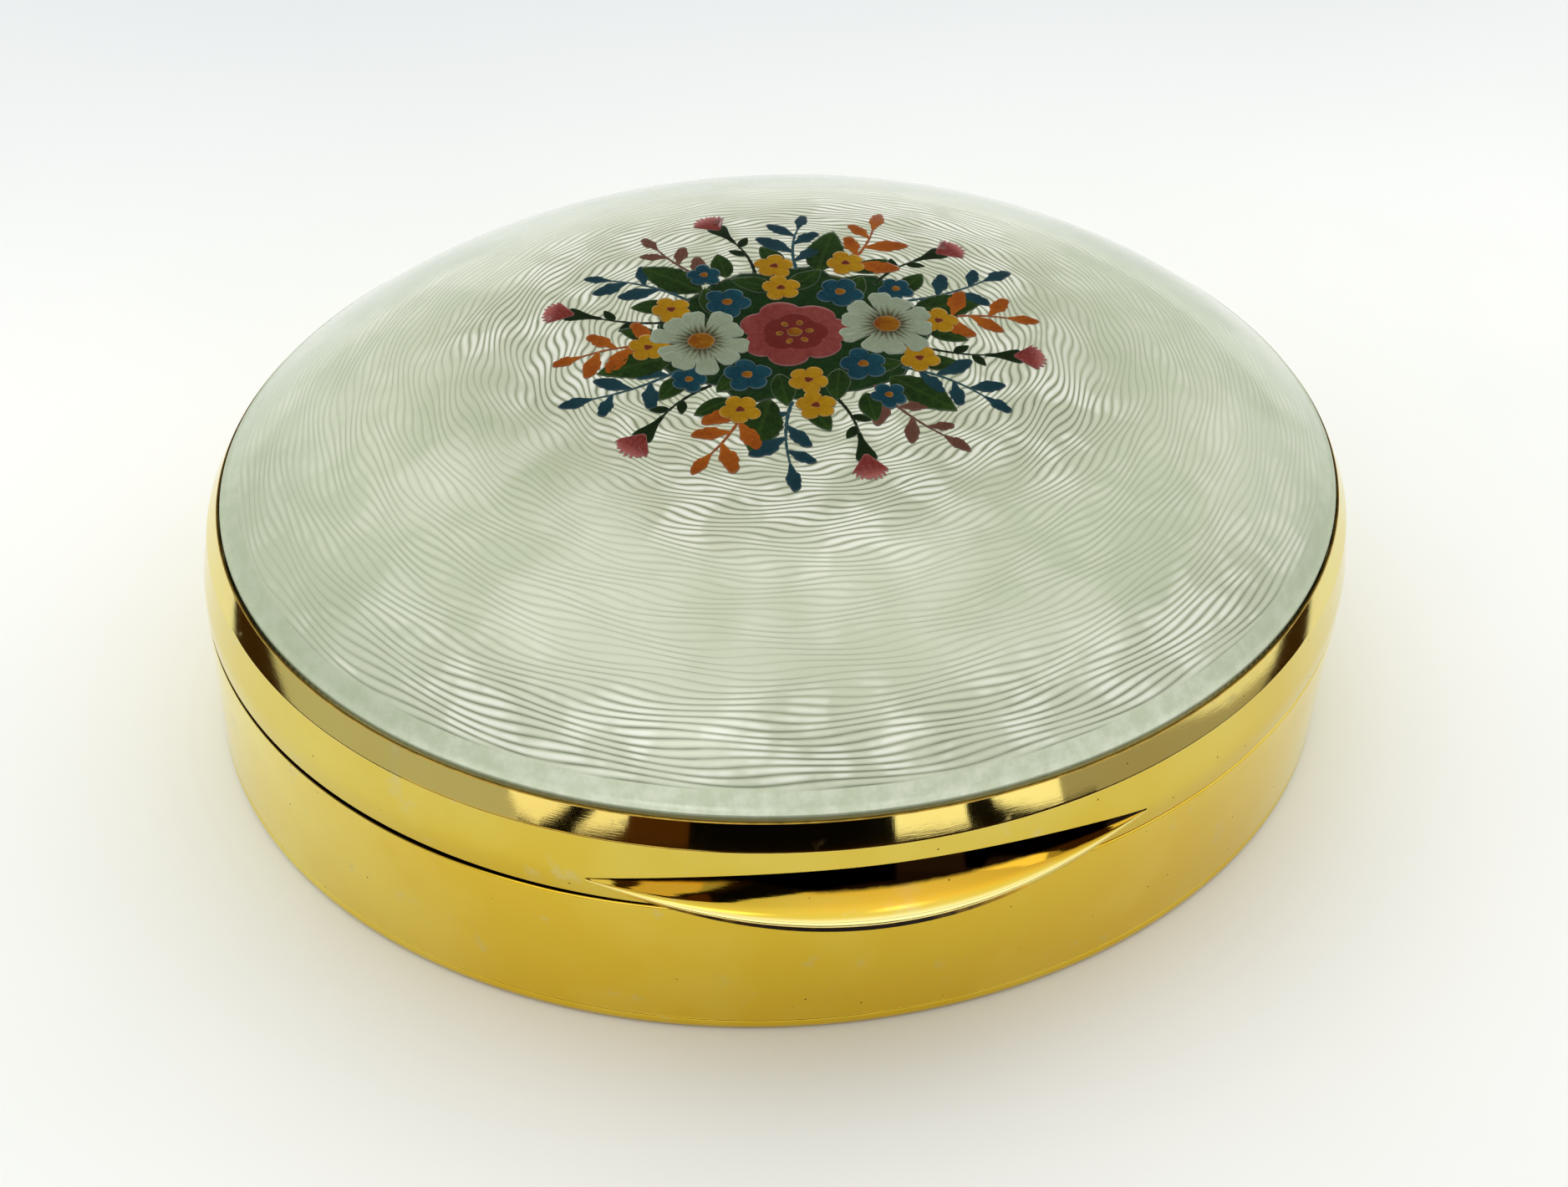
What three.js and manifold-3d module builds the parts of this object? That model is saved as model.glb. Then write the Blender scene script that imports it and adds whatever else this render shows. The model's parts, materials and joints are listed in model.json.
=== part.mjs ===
// An oval pill box of gilt silver with a domed, engine-turned and enamelled lid.
// Millimetres, +Z up. The origin is on the table, under the middle of the box.
// X runs along the long side. The thumb lift is at -Y and the hinge at +Y.
import * as THREE from "three";
import { mergeVertices } from "three/addons/utils/BufferGeometryUtils.js";
import Module from "manifold-3d";

// Outline. Every rim is the outer oval moved inwards by an inset.
const LENGTH = 60;
const WIDTH = 50;
const HALF_LONG = LENGTH / 2;
const HALF_SHORT = WIDTH / 2;
const OVAL_SEGMENTS = 60;
const DOME_RINGS = 5;

// Clearances between pieces.
const SEAM_GAP = 0.25; // between the base's wall and the lid's rim
const SOLDER_GAP = 0.15; // between pieces that are soldered side by side
const LAYER_GAP = 0.05; // between the layers of the lid's dome

// Base.
const BOTTOM_THICKNESS = 0.8;
const BOTTOM_EDGE_RADIUS = 0.4;
const WALL_THICKNESS = 1.0;
const BASE_HEIGHT = 9.0;
const EDGE_BREAK = 0.12; // the small chamfer on each rim's edges
const BEZEL_INSET = WALL_THICKNESS + SOLDER_GAP;
const BEZEL_THICKNESS = 0.7;
const BEZEL_RISE = 1.9; // how far the inner bezel stands into the lid
const BEZEL_NOTCH_HALF = 10.2; // half the gap that the inner bezel leaves for the hinge
const BEZEL_NOTCH_MARGIN = 1; // the gap's floor below the hinge's gutter

// Lid rim: an upright band that leans in above BAND_TOP, a steep bezel slope and an inner ledge.
const LID_FLOOR = BASE_HEIGHT + SEAM_GAP;
const BAND_TOP = 10.4;
const SHOULDER_INSET = 0.43;
const SHOULDER_HEIGHT = 12.9;
const SLOPE_TOP_INSET = 1.05;
const SLOPE_TOP_HEIGHT = 14.25;
const SEAT_INSET = 1.17; // the bezel's inner face, round the enamelled plate
const LEDGE_TOP = 13.0;
const LEDGE_BOTTOM = 12.3;
const LEDGE_INSET = 2.6;

// Dome of the lid: z = edge + rise * (1 - t ^ power), where t is 0 in the middle and 1 at the edge.
const DOME_INSET = 1.15;
const DOME_EDGE_HEIGHT = 14.37;
const DOME_RISE = 8.28;
const DOME_POWER = 3.4;
const DOME_CROWDING = 0.62; // below 1, the dome's rings crowd towards its edge, where it curves most
const PLATE_EDGE_INSET = 1.24;
const ENAMEL_THICKNESS = 0.45;
const PLATE_THICKNESS = 0.6;
const PLATE_FLANGE_INSET = 2.4;
const COUNTER_ENAMEL_THICKNESS = 0.2;
const COUNTER_ENAMEL_INSET = 2.8;
const LINER_THICKNESS = 0.4;
const LINER_INSET = LEDGE_INSET + LAYER_GAP;
const LINER_RING_OUTER_INSET = 1.25;
const LINER_RING_INNER_INSET = 3.1;
const LINER_RING_THICKNESS = 0.5;

// Hinge: five knuckles on one pin along X, in a split gutter.
const HINGE_Y = 24.88;
const HINGE_Z = BASE_HEIGHT + SEAM_GAP / 2;
const HINGE_LENGTH = 18;
const KNUCKLE_COUNT = 5;
const KNUCKLE_GAP = 0.12;
const KNUCKLE_RADIUS = 1.25;
const KNUCKLE_BORE = 0.56;
const PIN_RADIUS = 0.5;
const GUTTER_INNER = 1.33;
const GUTTER_OUTER = 1.75;
const GUTTER_CLEARANCE = 0.06;
const ROUND_SEGMENTS = 24;
// Angles round the pin: 0 points out of the back, 90 up and 180 into the box.
const BASE_GUTTER_ANGLES = [185, 343];
const LID_GUTTER_ANGLES = [90, 175];

// Thumb lift: a crescent lip with a scooped top, on the lid's band.
const LIFT_HALF_CHORD = 13.5;
const LIFT_PROJECTION = 1.5;
const LIFT_TIP_PROJECTION = 0.05;
const LIFT_PROJECTION_POWER = 1.35;
const LIFT_TIP_HEIGHT = 10.4;
const LIFT_SCOOP_TOP = 11.8;
const LIFT_TIP_SCOOP = 0.05; // height of the scoop at the crescent's tips
const LIFT_SCOOP_POWER = 2.5;
const LIFT_EDGE_HEIGHT = 9.8;
const LIFT_EDGE_THICKNESS = 0.35;
const LIFT_TIP_THICKNESS = 0.12;
const LIFT_FOOT_HEIGHT = 9.33;
const LIFT_STEPS = 26;
const SCOOP_POINTS = 5;
const SCOOP_SAG = 0.24; // how deep the scoop's arc lies, as a share of its height

// Materials.
const gilt = new THREE.MeshStandardMaterial({ color: 0xd9a93a, roughness: 0.18, metalness: 1 });
const giltInside = new THREE.MeshStandardMaterial({ color: 0xd2a648, roughness: 0.3, metalness: 1 });
const silver = new THREE.MeshStandardMaterial({ color: 0xd8d8d2, roughness: 0.3, metalness: 1 });
const enamel = new THREE.MeshStandardMaterial({ color: 0xcbd6bd, roughness: 0.08, metalness: 0.1 });
const steel = new THREE.MeshStandardMaterial({ color: 0x9b9ca0, roughness: 0.35, metalness: 1 });

const wasm = await Module();
wasm.setup();

// A three.js geometry as a manifold-3d solid.
function solidOf(geometry) {
  const bare = geometry.clone();
  bare.deleteAttribute("normal");
  bare.deleteAttribute("uv");
  const merged = mergeVertices(bare, 1e-4);
  return new wasm.Manifold(
    new wasm.Mesh({
      numProp: 3,
      vertProperties: merged.attributes.position.array,
      triVerts: new Uint32Array(merged.index.array),
    }),
  );
}

// A manifold-3d solid as a three.js geometry.
function geometryOf(solid) {
  const mesh = solid.getMesh();
  const geometry = new THREE.BufferGeometry();
  geometry.setAttribute("position", new THREE.BufferAttribute(mesh.vertProperties, 3));
  geometry.setIndex(new THREE.BufferAttribute(mesh.triVerts, 1));
  const flat = geometry.toNonIndexed();
  flat.computeVertexNormals();
  return flat;
}

function cut(geometry, tool) {
  return geometryOf(solidOf(geometry).subtract(solidOf(tool)));
}

// A profile of [radius, height] turned round Z. The radius is the half length along X, and
// across(radius) is the half width along Y of the same ring.
function ovalLathe(profile, across) {
  const points = profile.map(([radius, height]) => new THREE.Vector2(radius, height));
  const geometry = new THREE.LatheGeometry(points, OVAL_SEGMENTS).rotateX(Math.PI / 2);
  const position = geometry.attributes.position;
  for (let i = 0; i < position.count; i++) {
    const radius = Math.hypot(position.getX(i), position.getY(i));
    if (radius > 0) position.setY(i, (position.getY(i) * across(radius)) / radius);
  }
  geometry.computeVertexNormals();
  return geometry;
}

// A ring whose section is a list of [inset, height] and closes on itself.
function rimRing(section) {
  const profile = [...section, section[0]].map(([inset, height]) => [HALF_LONG - inset, height]);
  return ovalLathe(profile, (radius) => radius - HALF_LONG + HALF_SHORT);
}

// A plate that reaches the middle: its rings keep the proportions of the oval at one inset.
function ovalPlate(profile, inset) {
  const ratio = (HALF_SHORT - inset) / (HALF_LONG - inset);
  return ovalLathe(profile, (radius) => radius * ratio);
}

// Height of the enamel's outer surface at a half length along X.
function domeHeight(radius) {
  const t = Math.min(radius / (HALF_LONG - DOME_INSET), 1);
  return DOME_EDGE_HEIGHT + DOME_RISE * (1 - t ** DOME_POWER);
}

// Points of the dome from the middle out to an inset, lowered by a depth.
function domeProfile(inset, depth) {
  const profile = [];
  for (let i = 0; i <= DOME_RINGS; i++) {
    const radius = (HALF_LONG - inset) * (i / DOME_RINGS) ** DOME_CROWDING;
    profile.push([radius, domeHeight(radius) - depth]);
  }
  return profile;
}

function baseBottom() {
  const r = BOTTOM_EDGE_RADIUS;
  const profile = [[0, 0]];
  for (const angle of [-90, -60, -30, 0]) {
    const a = THREE.MathUtils.degToRad(angle);
    profile.push([HALF_LONG - r + r * Math.cos(a), r + r * Math.sin(a)]);
  }
  profile.push([HALF_LONG, BOTTOM_THICKNESS], [0, BOTTOM_THICKNESS]);
  return ovalPlate(profile, 0);
}

// The round space that the hinge needs, along X.
function hingeSpace() {
  const radius = GUTTER_OUTER + GUTTER_CLEARANCE;
  const length = HINGE_LENGTH + 2 * SOLDER_GAP;
  const space = new THREE.CylinderGeometry(radius, radius, length, ROUND_SEGMENTS * 2);
  return space.rotateZ(Math.PI / 2).translate(0, HINGE_Y, HINGE_Z);
}

function baseWall() {
  const wall = rimRing([
    [WALL_THICKNESS, BOTTOM_THICKNESS],
    [0, BOTTOM_THICKNESS],
    [0, BASE_HEIGHT - EDGE_BREAK],
    [EDGE_BREAK, BASE_HEIGHT],
    [WALL_THICKNESS, BASE_HEIGHT],
  ]);
  return cut(wall, hingeSpace());
}

function baseBezel() {
  const top = LID_FLOOR + BEZEL_RISE;
  const ring = rimRing([
    [BEZEL_INSET + BEZEL_THICKNESS, BOTTOM_THICKNESS],
    [BEZEL_INSET, BOTTOM_THICKNESS],
    [BEZEL_INSET, top - 2 * EDGE_BREAK],
    [BEZEL_INSET + 2 * EDGE_BREAK, top],
    [BEZEL_INSET + BEZEL_THICKNESS, top],
  ]);
  const notchFloor = HINGE_Z - GUTTER_OUTER - BEZEL_NOTCH_MARGIN;
  const notch = new THREE.BoxGeometry(2 * BEZEL_NOTCH_HALF, HALF_SHORT, HALF_SHORT);
  notch.translate(0, HALF_SHORT, notchFloor + HALF_SHORT / 2);
  return cut(ring, notch);
}

function lidRim() {
  const section = [
    [WALL_THICKNESS, LID_FLOOR],
    [EDGE_BREAK, LID_FLOOR],
    [0, LID_FLOOR + EDGE_BREAK],
    [0, BAND_TOP],
    [SHOULDER_INSET, SHOULDER_HEIGHT],
    [SLOPE_TOP_INSET, SLOPE_TOP_HEIGHT],
    [SEAT_INSET, SLOPE_TOP_HEIGHT],
    [SEAT_INSET, LEDGE_TOP],
    [LEDGE_INSET, LEDGE_TOP],
    [LEDGE_INSET, LEDGE_BOTTOM],
    [WALL_THICKNESS, LEDGE_BOTTOM],
  ];
  return cut(rimRing(section), hingeSpace());
}

function lidEnamel() {
  const outer = domeProfile(PLATE_EDGE_INSET, 0);
  const inner = domeProfile(PLATE_EDGE_INSET, ENAMEL_THICKNESS);
  return ovalPlate([...inner, ...outer.reverse()], PLATE_EDGE_INSET);
}

// The engraved plate under the enamel, with a flat flange that stands on the rim's ledge.
function lidPlate() {
  const top = ENAMEL_THICKNESS + LAYER_GAP;
  const outer = domeProfile(PLATE_EDGE_INSET, top);
  const inner = domeProfile(PLATE_FLANGE_INSET, top + PLATE_THICKNESS);
  const flange = [
    [HALF_LONG - PLATE_FLANGE_INSET, LEDGE_TOP + LAYER_GAP],
    [HALF_LONG - PLATE_EDGE_INSET, LEDGE_TOP + LAYER_GAP],
  ];
  return ovalPlate([...inner, ...flange, ...outer.reverse()], PLATE_EDGE_INSET);
}

// The fired layer under the plate that balances the one on top.
function lidCounterEnamel() {
  const top = ENAMEL_THICKNESS + PLATE_THICKNESS + 2 * LAYER_GAP;
  const outer = domeProfile(COUNTER_ENAMEL_INSET, top);
  const inner = domeProfile(COUNTER_ENAMEL_INSET, top + COUNTER_ENAMEL_THICKNESS);
  return ovalPlate([...inner, ...outer.reverse()], PLATE_EDGE_INSET);
}

// The polished sheet that the open lid shows: a dome with a straight skirt inside the ledge.
function lidLiner() {
  const top =
    ENAMEL_THICKNESS + PLATE_THICKNESS + COUNTER_ENAMEL_THICKNESS + 5 * LAYER_GAP;
  const outer = domeProfile(LINER_INSET, top);
  const inner = domeProfile(LINER_INSET + LINER_THICKNESS, top + LINER_THICKNESS);
  const skirt = [
    [HALF_LONG - LINER_INSET - LINER_THICKNESS, LEDGE_BOTTOM],
    [HALF_LONG - LINER_INSET, LEDGE_BOTTOM],
  ];
  return ovalPlate([...inner, ...skirt, ...outer.reverse()], LINER_INSET);
}

function lidLinerRing() {
  const top = LEDGE_BOTTOM - LAYER_GAP;
  const bottom = top - LINER_RING_THICKNESS;
  return rimRing([
    [LINER_RING_INNER_INSET, bottom + EDGE_BREAK],
    [LINER_RING_INNER_INSET - EDGE_BREAK, bottom],
    [LINER_RING_OUTER_INSET, bottom],
    [LINER_RING_OUTER_INSET, top],
    [LINER_RING_INNER_INSET, top],
  ]);
}

// Half length along Y of the outer wall at a distance along X.
function wallDepth(x) {
  return HALF_SHORT * Math.sqrt(1 - (x / HALF_LONG) ** 2);
}

// How far the lid's band lies inside the outer oval at a height.
function bandInset(height) {
  const climb = (height - BAND_TOP) / (SHOULDER_HEIGHT - BAND_TOP);
  return SHOULDER_INSET * Math.max(climb, 0);
}

// The crescent lip. Its unit section, [outwards, upwards], is stretched at each step along X.
function thumbLift() {
  const section = new THREE.Shape();
  section.moveTo(0, 0);
  section.lineTo(1, 0);
  section.lineTo(1, 1);
  for (let i = 1; i <= SCOOP_POINTS; i++) section.lineTo(1 - i / SCOOP_POINTS, 1 + i / SCOOP_POINTS);
  section.lineTo(0, 1);
  const geometry = new THREE.ExtrudeGeometry(section, {
    depth: 2 * LIFT_HALF_CHORD,
    steps: LIFT_STEPS,
    bevelEnabled: false,
  });
  const position = geometry.attributes.position;
  for (let i = 0; i < position.count; i++) {
    const x = LIFT_HALF_CHORD - position.getZ(i);
    const share = 1 - (x / LIFT_HALF_CHORD) ** 2;
    const rise = 1 - Math.abs(x / LIFT_HALF_CHORD) ** LIFT_SCOOP_POWER;
    const projection =
      LIFT_TIP_PROJECTION + (LIFT_PROJECTION - LIFT_TIP_PROJECTION) * share ** LIFT_PROJECTION_POWER;
    const thickness = LIFT_TIP_THICKNESS + (LIFT_EDGE_THICKNESS - LIFT_TIP_THICKNESS) * share;
    const edgeTop = LIFT_TIP_HEIGHT + (LIFT_EDGE_HEIGHT - LIFT_TIP_HEIGHT) * rise;
    const foot = LIFT_TIP_HEIGHT - LIFT_TIP_THICKNESS +
      (LIFT_FOOT_HEIGHT - LIFT_TIP_HEIGHT + LIFT_TIP_THICKNESS) * rise;
    const scoopTop =
      LIFT_TIP_HEIGHT + LIFT_TIP_SCOOP + (LIFT_SCOOP_TOP - LIFT_TIP_HEIGHT - LIFT_TIP_SCOOP) * rise;
    const outward = position.getX(i);
    const upward = position.getY(i);
    let out = outward * projection;
    let height = outward > 0.5 ? edgeTop - thickness : foot;
    if (upward === 1 && outward === 0) {
      height = BAND_TOP;
    } else if (upward >= 1) {
      const climb = upward - 1;
      const sag = SCOOP_SAG * 4 * climb * (1 - climb);
      out *= 1 - sag;
      height = edgeTop + (scoopTop - edgeTop) * climb * (1 - sag / 2);
    }
    out -= bandInset(height) * (1 - outward);
    position.setXYZ(i, x, -(wallDepth(x) + LAYER_GAP + out), height);
  }
  return geometry;
}

// A length of gutter whose section is an arc round the hinge's axis.
function gutter([from, to]) {
  const start = THREE.MathUtils.degToRad(from);
  const end = THREE.MathUtils.degToRad(to);
  const arc = new THREE.Shape();
  arc.absarc(0, 0, GUTTER_OUTER, start, end, false);
  arc.absarc(0, 0, GUTTER_INNER, end, start, true);
  const geometry = new THREE.ExtrudeGeometry(arc, {
    depth: HINGE_LENGTH,
    bevelEnabled: false,
    curveSegments: 10,
  });
  const turned = new THREE.Matrix4().makeBasis(
    new THREE.Vector3(0, 1, 0),
    new THREE.Vector3(0, 0, 1),
    new THREE.Vector3(1, 0, 0),
  );
  return geometry.applyMatrix4(turned).translate(-HINGE_LENGTH / 2, HINGE_Y, HINGE_Z);
}

function knuckle(length) {
  const profile = [
    [KNUCKLE_BORE, -length / 2],
    [KNUCKLE_RADIUS, -length / 2],
    [KNUCKLE_RADIUS, length / 2],
    [KNUCKLE_BORE, length / 2],
    [KNUCKLE_BORE, -length / 2],
  ].map(([radius, along]) => new THREE.Vector2(radius, along));
  return new THREE.LatheGeometry(profile, ROUND_SEGMENTS).rotateZ(Math.PI / 2);
}

function hingePin() {
  const pin = new THREE.CylinderGeometry(PIN_RADIUS, PIN_RADIUS, HINGE_LENGTH, ROUND_SEGMENTS);
  return pin.rotateZ(Math.PI / 2);
}

function piece(name, geometry, material) {
  const mesh = new THREE.Mesh(geometry, material);
  mesh.name = name;
  return mesh;
}

function hingePieces() {
  const group = new THREE.Group();
  group.position.set(0, HINGE_Y, HINGE_Z);
  group.add(piece("hinge_pin", hingePin(), steel));
  const names = [
    "base_knuckle_left",
    "lid_knuckle_left",
    "base_knuckle_centre",
    "lid_knuckle_right",
    "base_knuckle_right",
  ];
  const pitch = (HINGE_LENGTH + KNUCKLE_GAP) / KNUCKLE_COUNT;
  names.forEach((name, i) => {
    const mesh = piece(name, knuckle(pitch - KNUCKLE_GAP), gilt);
    mesh.position.x = (i - (KNUCKLE_COUNT - 1) / 2) * pitch;
    group.add(mesh);
  });
  return group;
}

const box = new THREE.Group();
box.add(
  piece("base_bottom", baseBottom(), gilt),
  piece("base_wall", baseWall(), gilt),
  piece("base_bezel", baseBezel(), giltInside),
  piece("base_hinge_gutter", gutter(BASE_GUTTER_ANGLES), gilt),
  piece("lid_rim", lidRim(), gilt),
  piece("thumb_lift", thumbLift(), gilt),
  piece("lid_plate", lidPlate(), silver),
  piece("lid_enamel", lidEnamel(), enamel),
  piece("lid_counter_enamel", lidCounterEnamel(), enamel),
  piece("lid_liner", lidLiner(), giltInside),
  piece("lid_liner_ring", lidLinerRing(), giltInside),
  piece("lid_hinge_gutter", gutter(LID_GUTTER_ANGLES), gilt),
  hingePieces(),
);
export default box;
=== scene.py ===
"""An oval gilt pill box with an engine-turned, enamelled and painted lid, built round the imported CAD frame.

Lengths are in millimetres until loose_mesh() turns them into metres. X runs along the long side, the thumb
lift is at -Y, the hinge at +Y, and the table is at z = 0.
"""

import json
from math import atan2, cos, degrees, hypot, pi, radians, sin, sqrt, tan

import bmesh
import bpy
import numpy as np
from mathutils import Matrix, Quaternion, Vector


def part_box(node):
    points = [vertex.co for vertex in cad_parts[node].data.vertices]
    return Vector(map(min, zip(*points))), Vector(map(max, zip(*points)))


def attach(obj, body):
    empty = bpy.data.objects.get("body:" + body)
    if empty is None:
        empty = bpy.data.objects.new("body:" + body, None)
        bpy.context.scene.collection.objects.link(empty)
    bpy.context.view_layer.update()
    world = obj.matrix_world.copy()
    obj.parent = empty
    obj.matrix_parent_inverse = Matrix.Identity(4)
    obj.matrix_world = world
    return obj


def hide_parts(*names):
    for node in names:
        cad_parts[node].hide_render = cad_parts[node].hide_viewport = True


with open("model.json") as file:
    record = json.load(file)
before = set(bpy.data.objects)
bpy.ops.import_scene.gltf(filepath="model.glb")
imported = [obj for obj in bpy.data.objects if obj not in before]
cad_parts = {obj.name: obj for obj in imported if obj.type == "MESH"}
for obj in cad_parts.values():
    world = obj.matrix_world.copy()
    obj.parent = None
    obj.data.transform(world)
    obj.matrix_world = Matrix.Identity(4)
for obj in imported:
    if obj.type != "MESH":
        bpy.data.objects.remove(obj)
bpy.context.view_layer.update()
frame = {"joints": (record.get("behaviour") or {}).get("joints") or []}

MM = 0.001
TURN = 2 * pi


def turns(count):
    """Angles at even steps round a circle."""
    return [TURN * k / count for k in range(count)]


def limited(value, low=0, high=1):
    return min(max(value, low), high)


def span(node):
    """The lowest and highest corner of a CAD node, in millimetres."""
    lowest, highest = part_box(node)
    return lowest / MM, highest / MM


# Driving sizes, from the frame.
wall_lowest, wall_highest = span("base_wall")
rim_lowest, rim_highest = span("lid_rim")
_, enamel_highest = span("lid_enamel")
plate_lowest, _ = span("lid_plate")
_, counter_highest = span("lid_counter_enamel")
liner_lowest, liner_highest = span("lid_liner")
ring_lowest, ring_highest = span("lid_liner_ring")
_, bezel_highest = span("base_bezel")
_, gutter_highest = span("base_hinge_gutter")
pin_lowest, pin_highest = span("hinge_pin")
HALF_LONG = wall_highest.x
HALF_SHORT = -wall_lowest.y
HINGE_AT = Vector(frame["joints"][0]["pos_m"]) / MM

# Sections, in millimetres.
WALL_THICKNESS = 1.0
BOTTOM_EDGE_RADIUS = 0.4
BEZEL_THICKNESS = 0.7
TIGHT_SEAM = 0.17  # the wall stands this much closer to the lid on the right
SEAM_CLOSES = -15.0  # where along X the seam starts to narrow
BAND_TOP = 10.4  # the band leans in above it
SHOULDER_INSET = 0.43
SHOULDER_HEIGHT = 12.9
SLOPE_TOP_INSET = 1.05
SEAT_INSET = 1.17
LEDGE_TOP = 13.0
LEDGE_BOTTOM = 12.3
LEDGE_INSET = 2.6
DOME_INSET = 1.15
DOME_EDGE_HEIGHT = 14.37
DOME_RISE = 8.28
DOME_POWER = 3.4
ENAMEL_INSET = HALF_LONG - enamel_highest.x
ENAMEL_THICKNESS = 0.45
DOME_RATIO = (HALF_SHORT - ENAMEL_INSET) / (HALF_LONG - ENAMEL_INSET)
GUTTER_INNER = 1.33
GUTTER_OUTER = 1.75
HINGE_SPACE = GUTTER_OUTER + 0.06
KNUCKLE_BORE = 0.56
NOTCH_HALF = 10.2  # half the notch in the inner bezel
PLATE_THICKNESS = 0.6
COUNTER_THICKNESS = 0.2
LINER_THICKNESS = 0.4
LAYER_GAP = 0.05  # between the lid's layers
RING_INSET = 3.1  # of the liner ring's inside
LIFT_HALF_CHORD = 13.5
LIFT_TIP_HEIGHT = 10.4

# Engine turning: wavy lines that follow the oval.
WAVES = 17  # round the oval
FIRST_LINE = 0.966  # share of the way from the middle to the edge
LINE_PITCH = 0.0107  # the same share
PITCH_GROWTH = 0.12  # how much wider the lines stand towards the middle
WAVE_DEPTH = 0.0034
WAVE_DRIFT = radians(9.4)  # how far the waves swing round and back
DRIFT_LINES = 15  # lines to a swing
RIDGE_POWER = 3.0


# ---------------------------------------------------------------- mesh building


def loose_mesh(name, points, faces):
    """A mesh object from points in millimetres, with its faces turned outwards."""
    mesh = bpy.data.meshes.new(name)
    mesh.from_pydata([tuple(p) for p in np.asarray(points, float) * MM], [], faces)
    solid = bmesh.new()
    solid.from_mesh(mesh)
    bmesh.ops.recalc_face_normals(solid, faces=solid.faces)
    solid.to_mesh(mesh)
    solid.free()
    thing = bpy.data.objects.new(name, mesh)
    bpy.context.scene.collection.objects.link(thing)
    bpy.context.view_layer.update()
    return thing


def build(name, points, faces, body, finish, replaces=()):
    """A piece of the box with its finish, on a body. It hides the CAD nodes that it replaces."""
    piece = loose_mesh(name, points, faces)
    piece.data.shade_smooth()
    piece.data.materials.append(finish)
    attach(piece, body)
    if replaces:
        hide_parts(*replaces)
    return piece


def rounded(corners, steps=5, margin=0.04):
    """A closed section from (across, up, radius) corners. Each arc has a point close before and after it,
    so that smooth shading stays on the arc."""
    section = []
    spots = [Vector(c[:2]) for c in corners]
    for i, (across, up, radius) in enumerate(corners):
        here = spots[i]
        before = spots[i - 1] - here
        after = spots[(i + 1) % len(spots)] - here
        if radius <= 0:
            section.append(here)
            continue
        room = 0.49 * min(before.length, after.length)
        before.normalize()
        after.normalize()
        half = before.angle(after) / 2
        reach = min(radius / tan(half), room)
        radius = reach * tan(half)
        centre = here + (before + after).normalized() * (radius / sin(half))
        start = here + before * reach - centre
        end = here + after * reach - centre
        sweep = atan2(start.x * end.y - start.y * end.x, start.dot(end))
        section.append(here + before * min(reach + margin, room))
        for k in range(steps + 1):
            section.append(centre + Matrix.Rotation(sweep * k / steps, 2) @ start)
        section.append(here + after * min(reach + margin, room))
    return [(p.x, p.y) for p in section]


def band(rings, closed):
    """Faces between rows of points. The rows are rings; closed joins the last row to the first."""
    faces = []
    count = len(rings)
    for i in range(count if closed else count - 1):
        here, there = rings[i], rings[(i + 1) % count]
        size = max(len(here), len(there))
        for k in range(size):
            after = k + 1
            corners = [here[k % len(here)], here[after % len(here)]]
            corners += [there[after % len(there)], there[k % len(there)]]
            corners = list(dict.fromkeys(corners))
            if len(corners) > 2:
                faces.append(tuple(corners))
    return faces


def prism(section, places):
    """Points and faces of a section in (outwards, upwards) from the hinge's axis, at places along X."""
    points, rings = [], []
    for x in places:
        rings.append(list(range(len(points), len(points) + len(section))))
        points += [(x, HINGE_AT.y + across, HINGE_AT.z + up) for across, up in section]
    return points, band(rings, False) + [tuple(reversed(rings[0])), tuple(rings[-1])]


def oval_rings(section, segments):
    """Points and rings of a section of (half length, half width, height) rows. A zero row is one point."""
    points, rings = [], []
    for half_long, half_short, height in section:
        count = 1 if half_long < 1e-6 else segments
        rings.append(list(range(len(points), len(points) + count)))
        for turn in turns(segments)[:count]:
            points.append((half_long * cos(turn), half_short * sin(turn), height))
    return points, rings


def rim_piece(name, section, body, finish, segments=360, shaded_rows=None):
    """A ring whose section is in (inset, height) from the outer oval. Its last argument gives each row a
    painted shade.
    """
    rows = [(HALF_LONG - inset, HALF_SHORT - inset, height) for inset, height in section]
    points, rings = oval_rings(rows, segments)
    piece = build(name, points, band(rings, True), body, finish, [name_of_node(name)])
    if shaded_rows:
        add_values(piece, "painted_shade_and_reflection", [float(shaded_rows(*row)) for row in section for _ in range(segments)])
    return piece


def add_values(piece, name, values):
    piece.data.attributes.new(name, "FLOAT", "POINT").data.foreach_set("value", values)


def plate_piece(name, section, inset, body, finish, segments=360):
    """A plate whose section is in (half length, height), from the middle out and back to the middle."""
    ratio = (HALF_SHORT - inset) / (HALF_LONG - inset)
    rows = [(half, half * ratio, height) for half, height in section]
    points, rings = oval_rings(rows, segments)
    return build(name, points, band(rings, False), body, finish, [name_of_node(name)])


def name_of_node(name):
    """The CAD node that a piece such as lid_rim_fine stands for."""
    return name.removesuffix("_fine")


def carve(piece, cutter):
    """Cuts a closed mesh object out of a piece and drops the cutter."""
    modifier = piece.modifiers.new("carve", "BOOLEAN")
    modifier.operation = "DIFFERENCE"
    modifier.solver = "EXACT"
    modifier.object = cutter
    graph = bpy.context.evaluated_depsgraph_get()
    shaped = bpy.data.meshes.new_from_object(piece.evaluated_get(graph))
    piece.modifiers.clear()
    piece.data = shaped
    bpy.data.objects.remove(cutter)
    shaped.set_sharp_from_angle(angle=radians(38))
    return piece


def dome_height(half):
    """Height of the enamel's surface where its ring has this half length."""
    share = min(half / (HALF_LONG - DOME_INSET), 1)
    return DOME_EDGE_HEIGHT + DOME_RISE * (1 - share**DOME_POWER)


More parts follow.
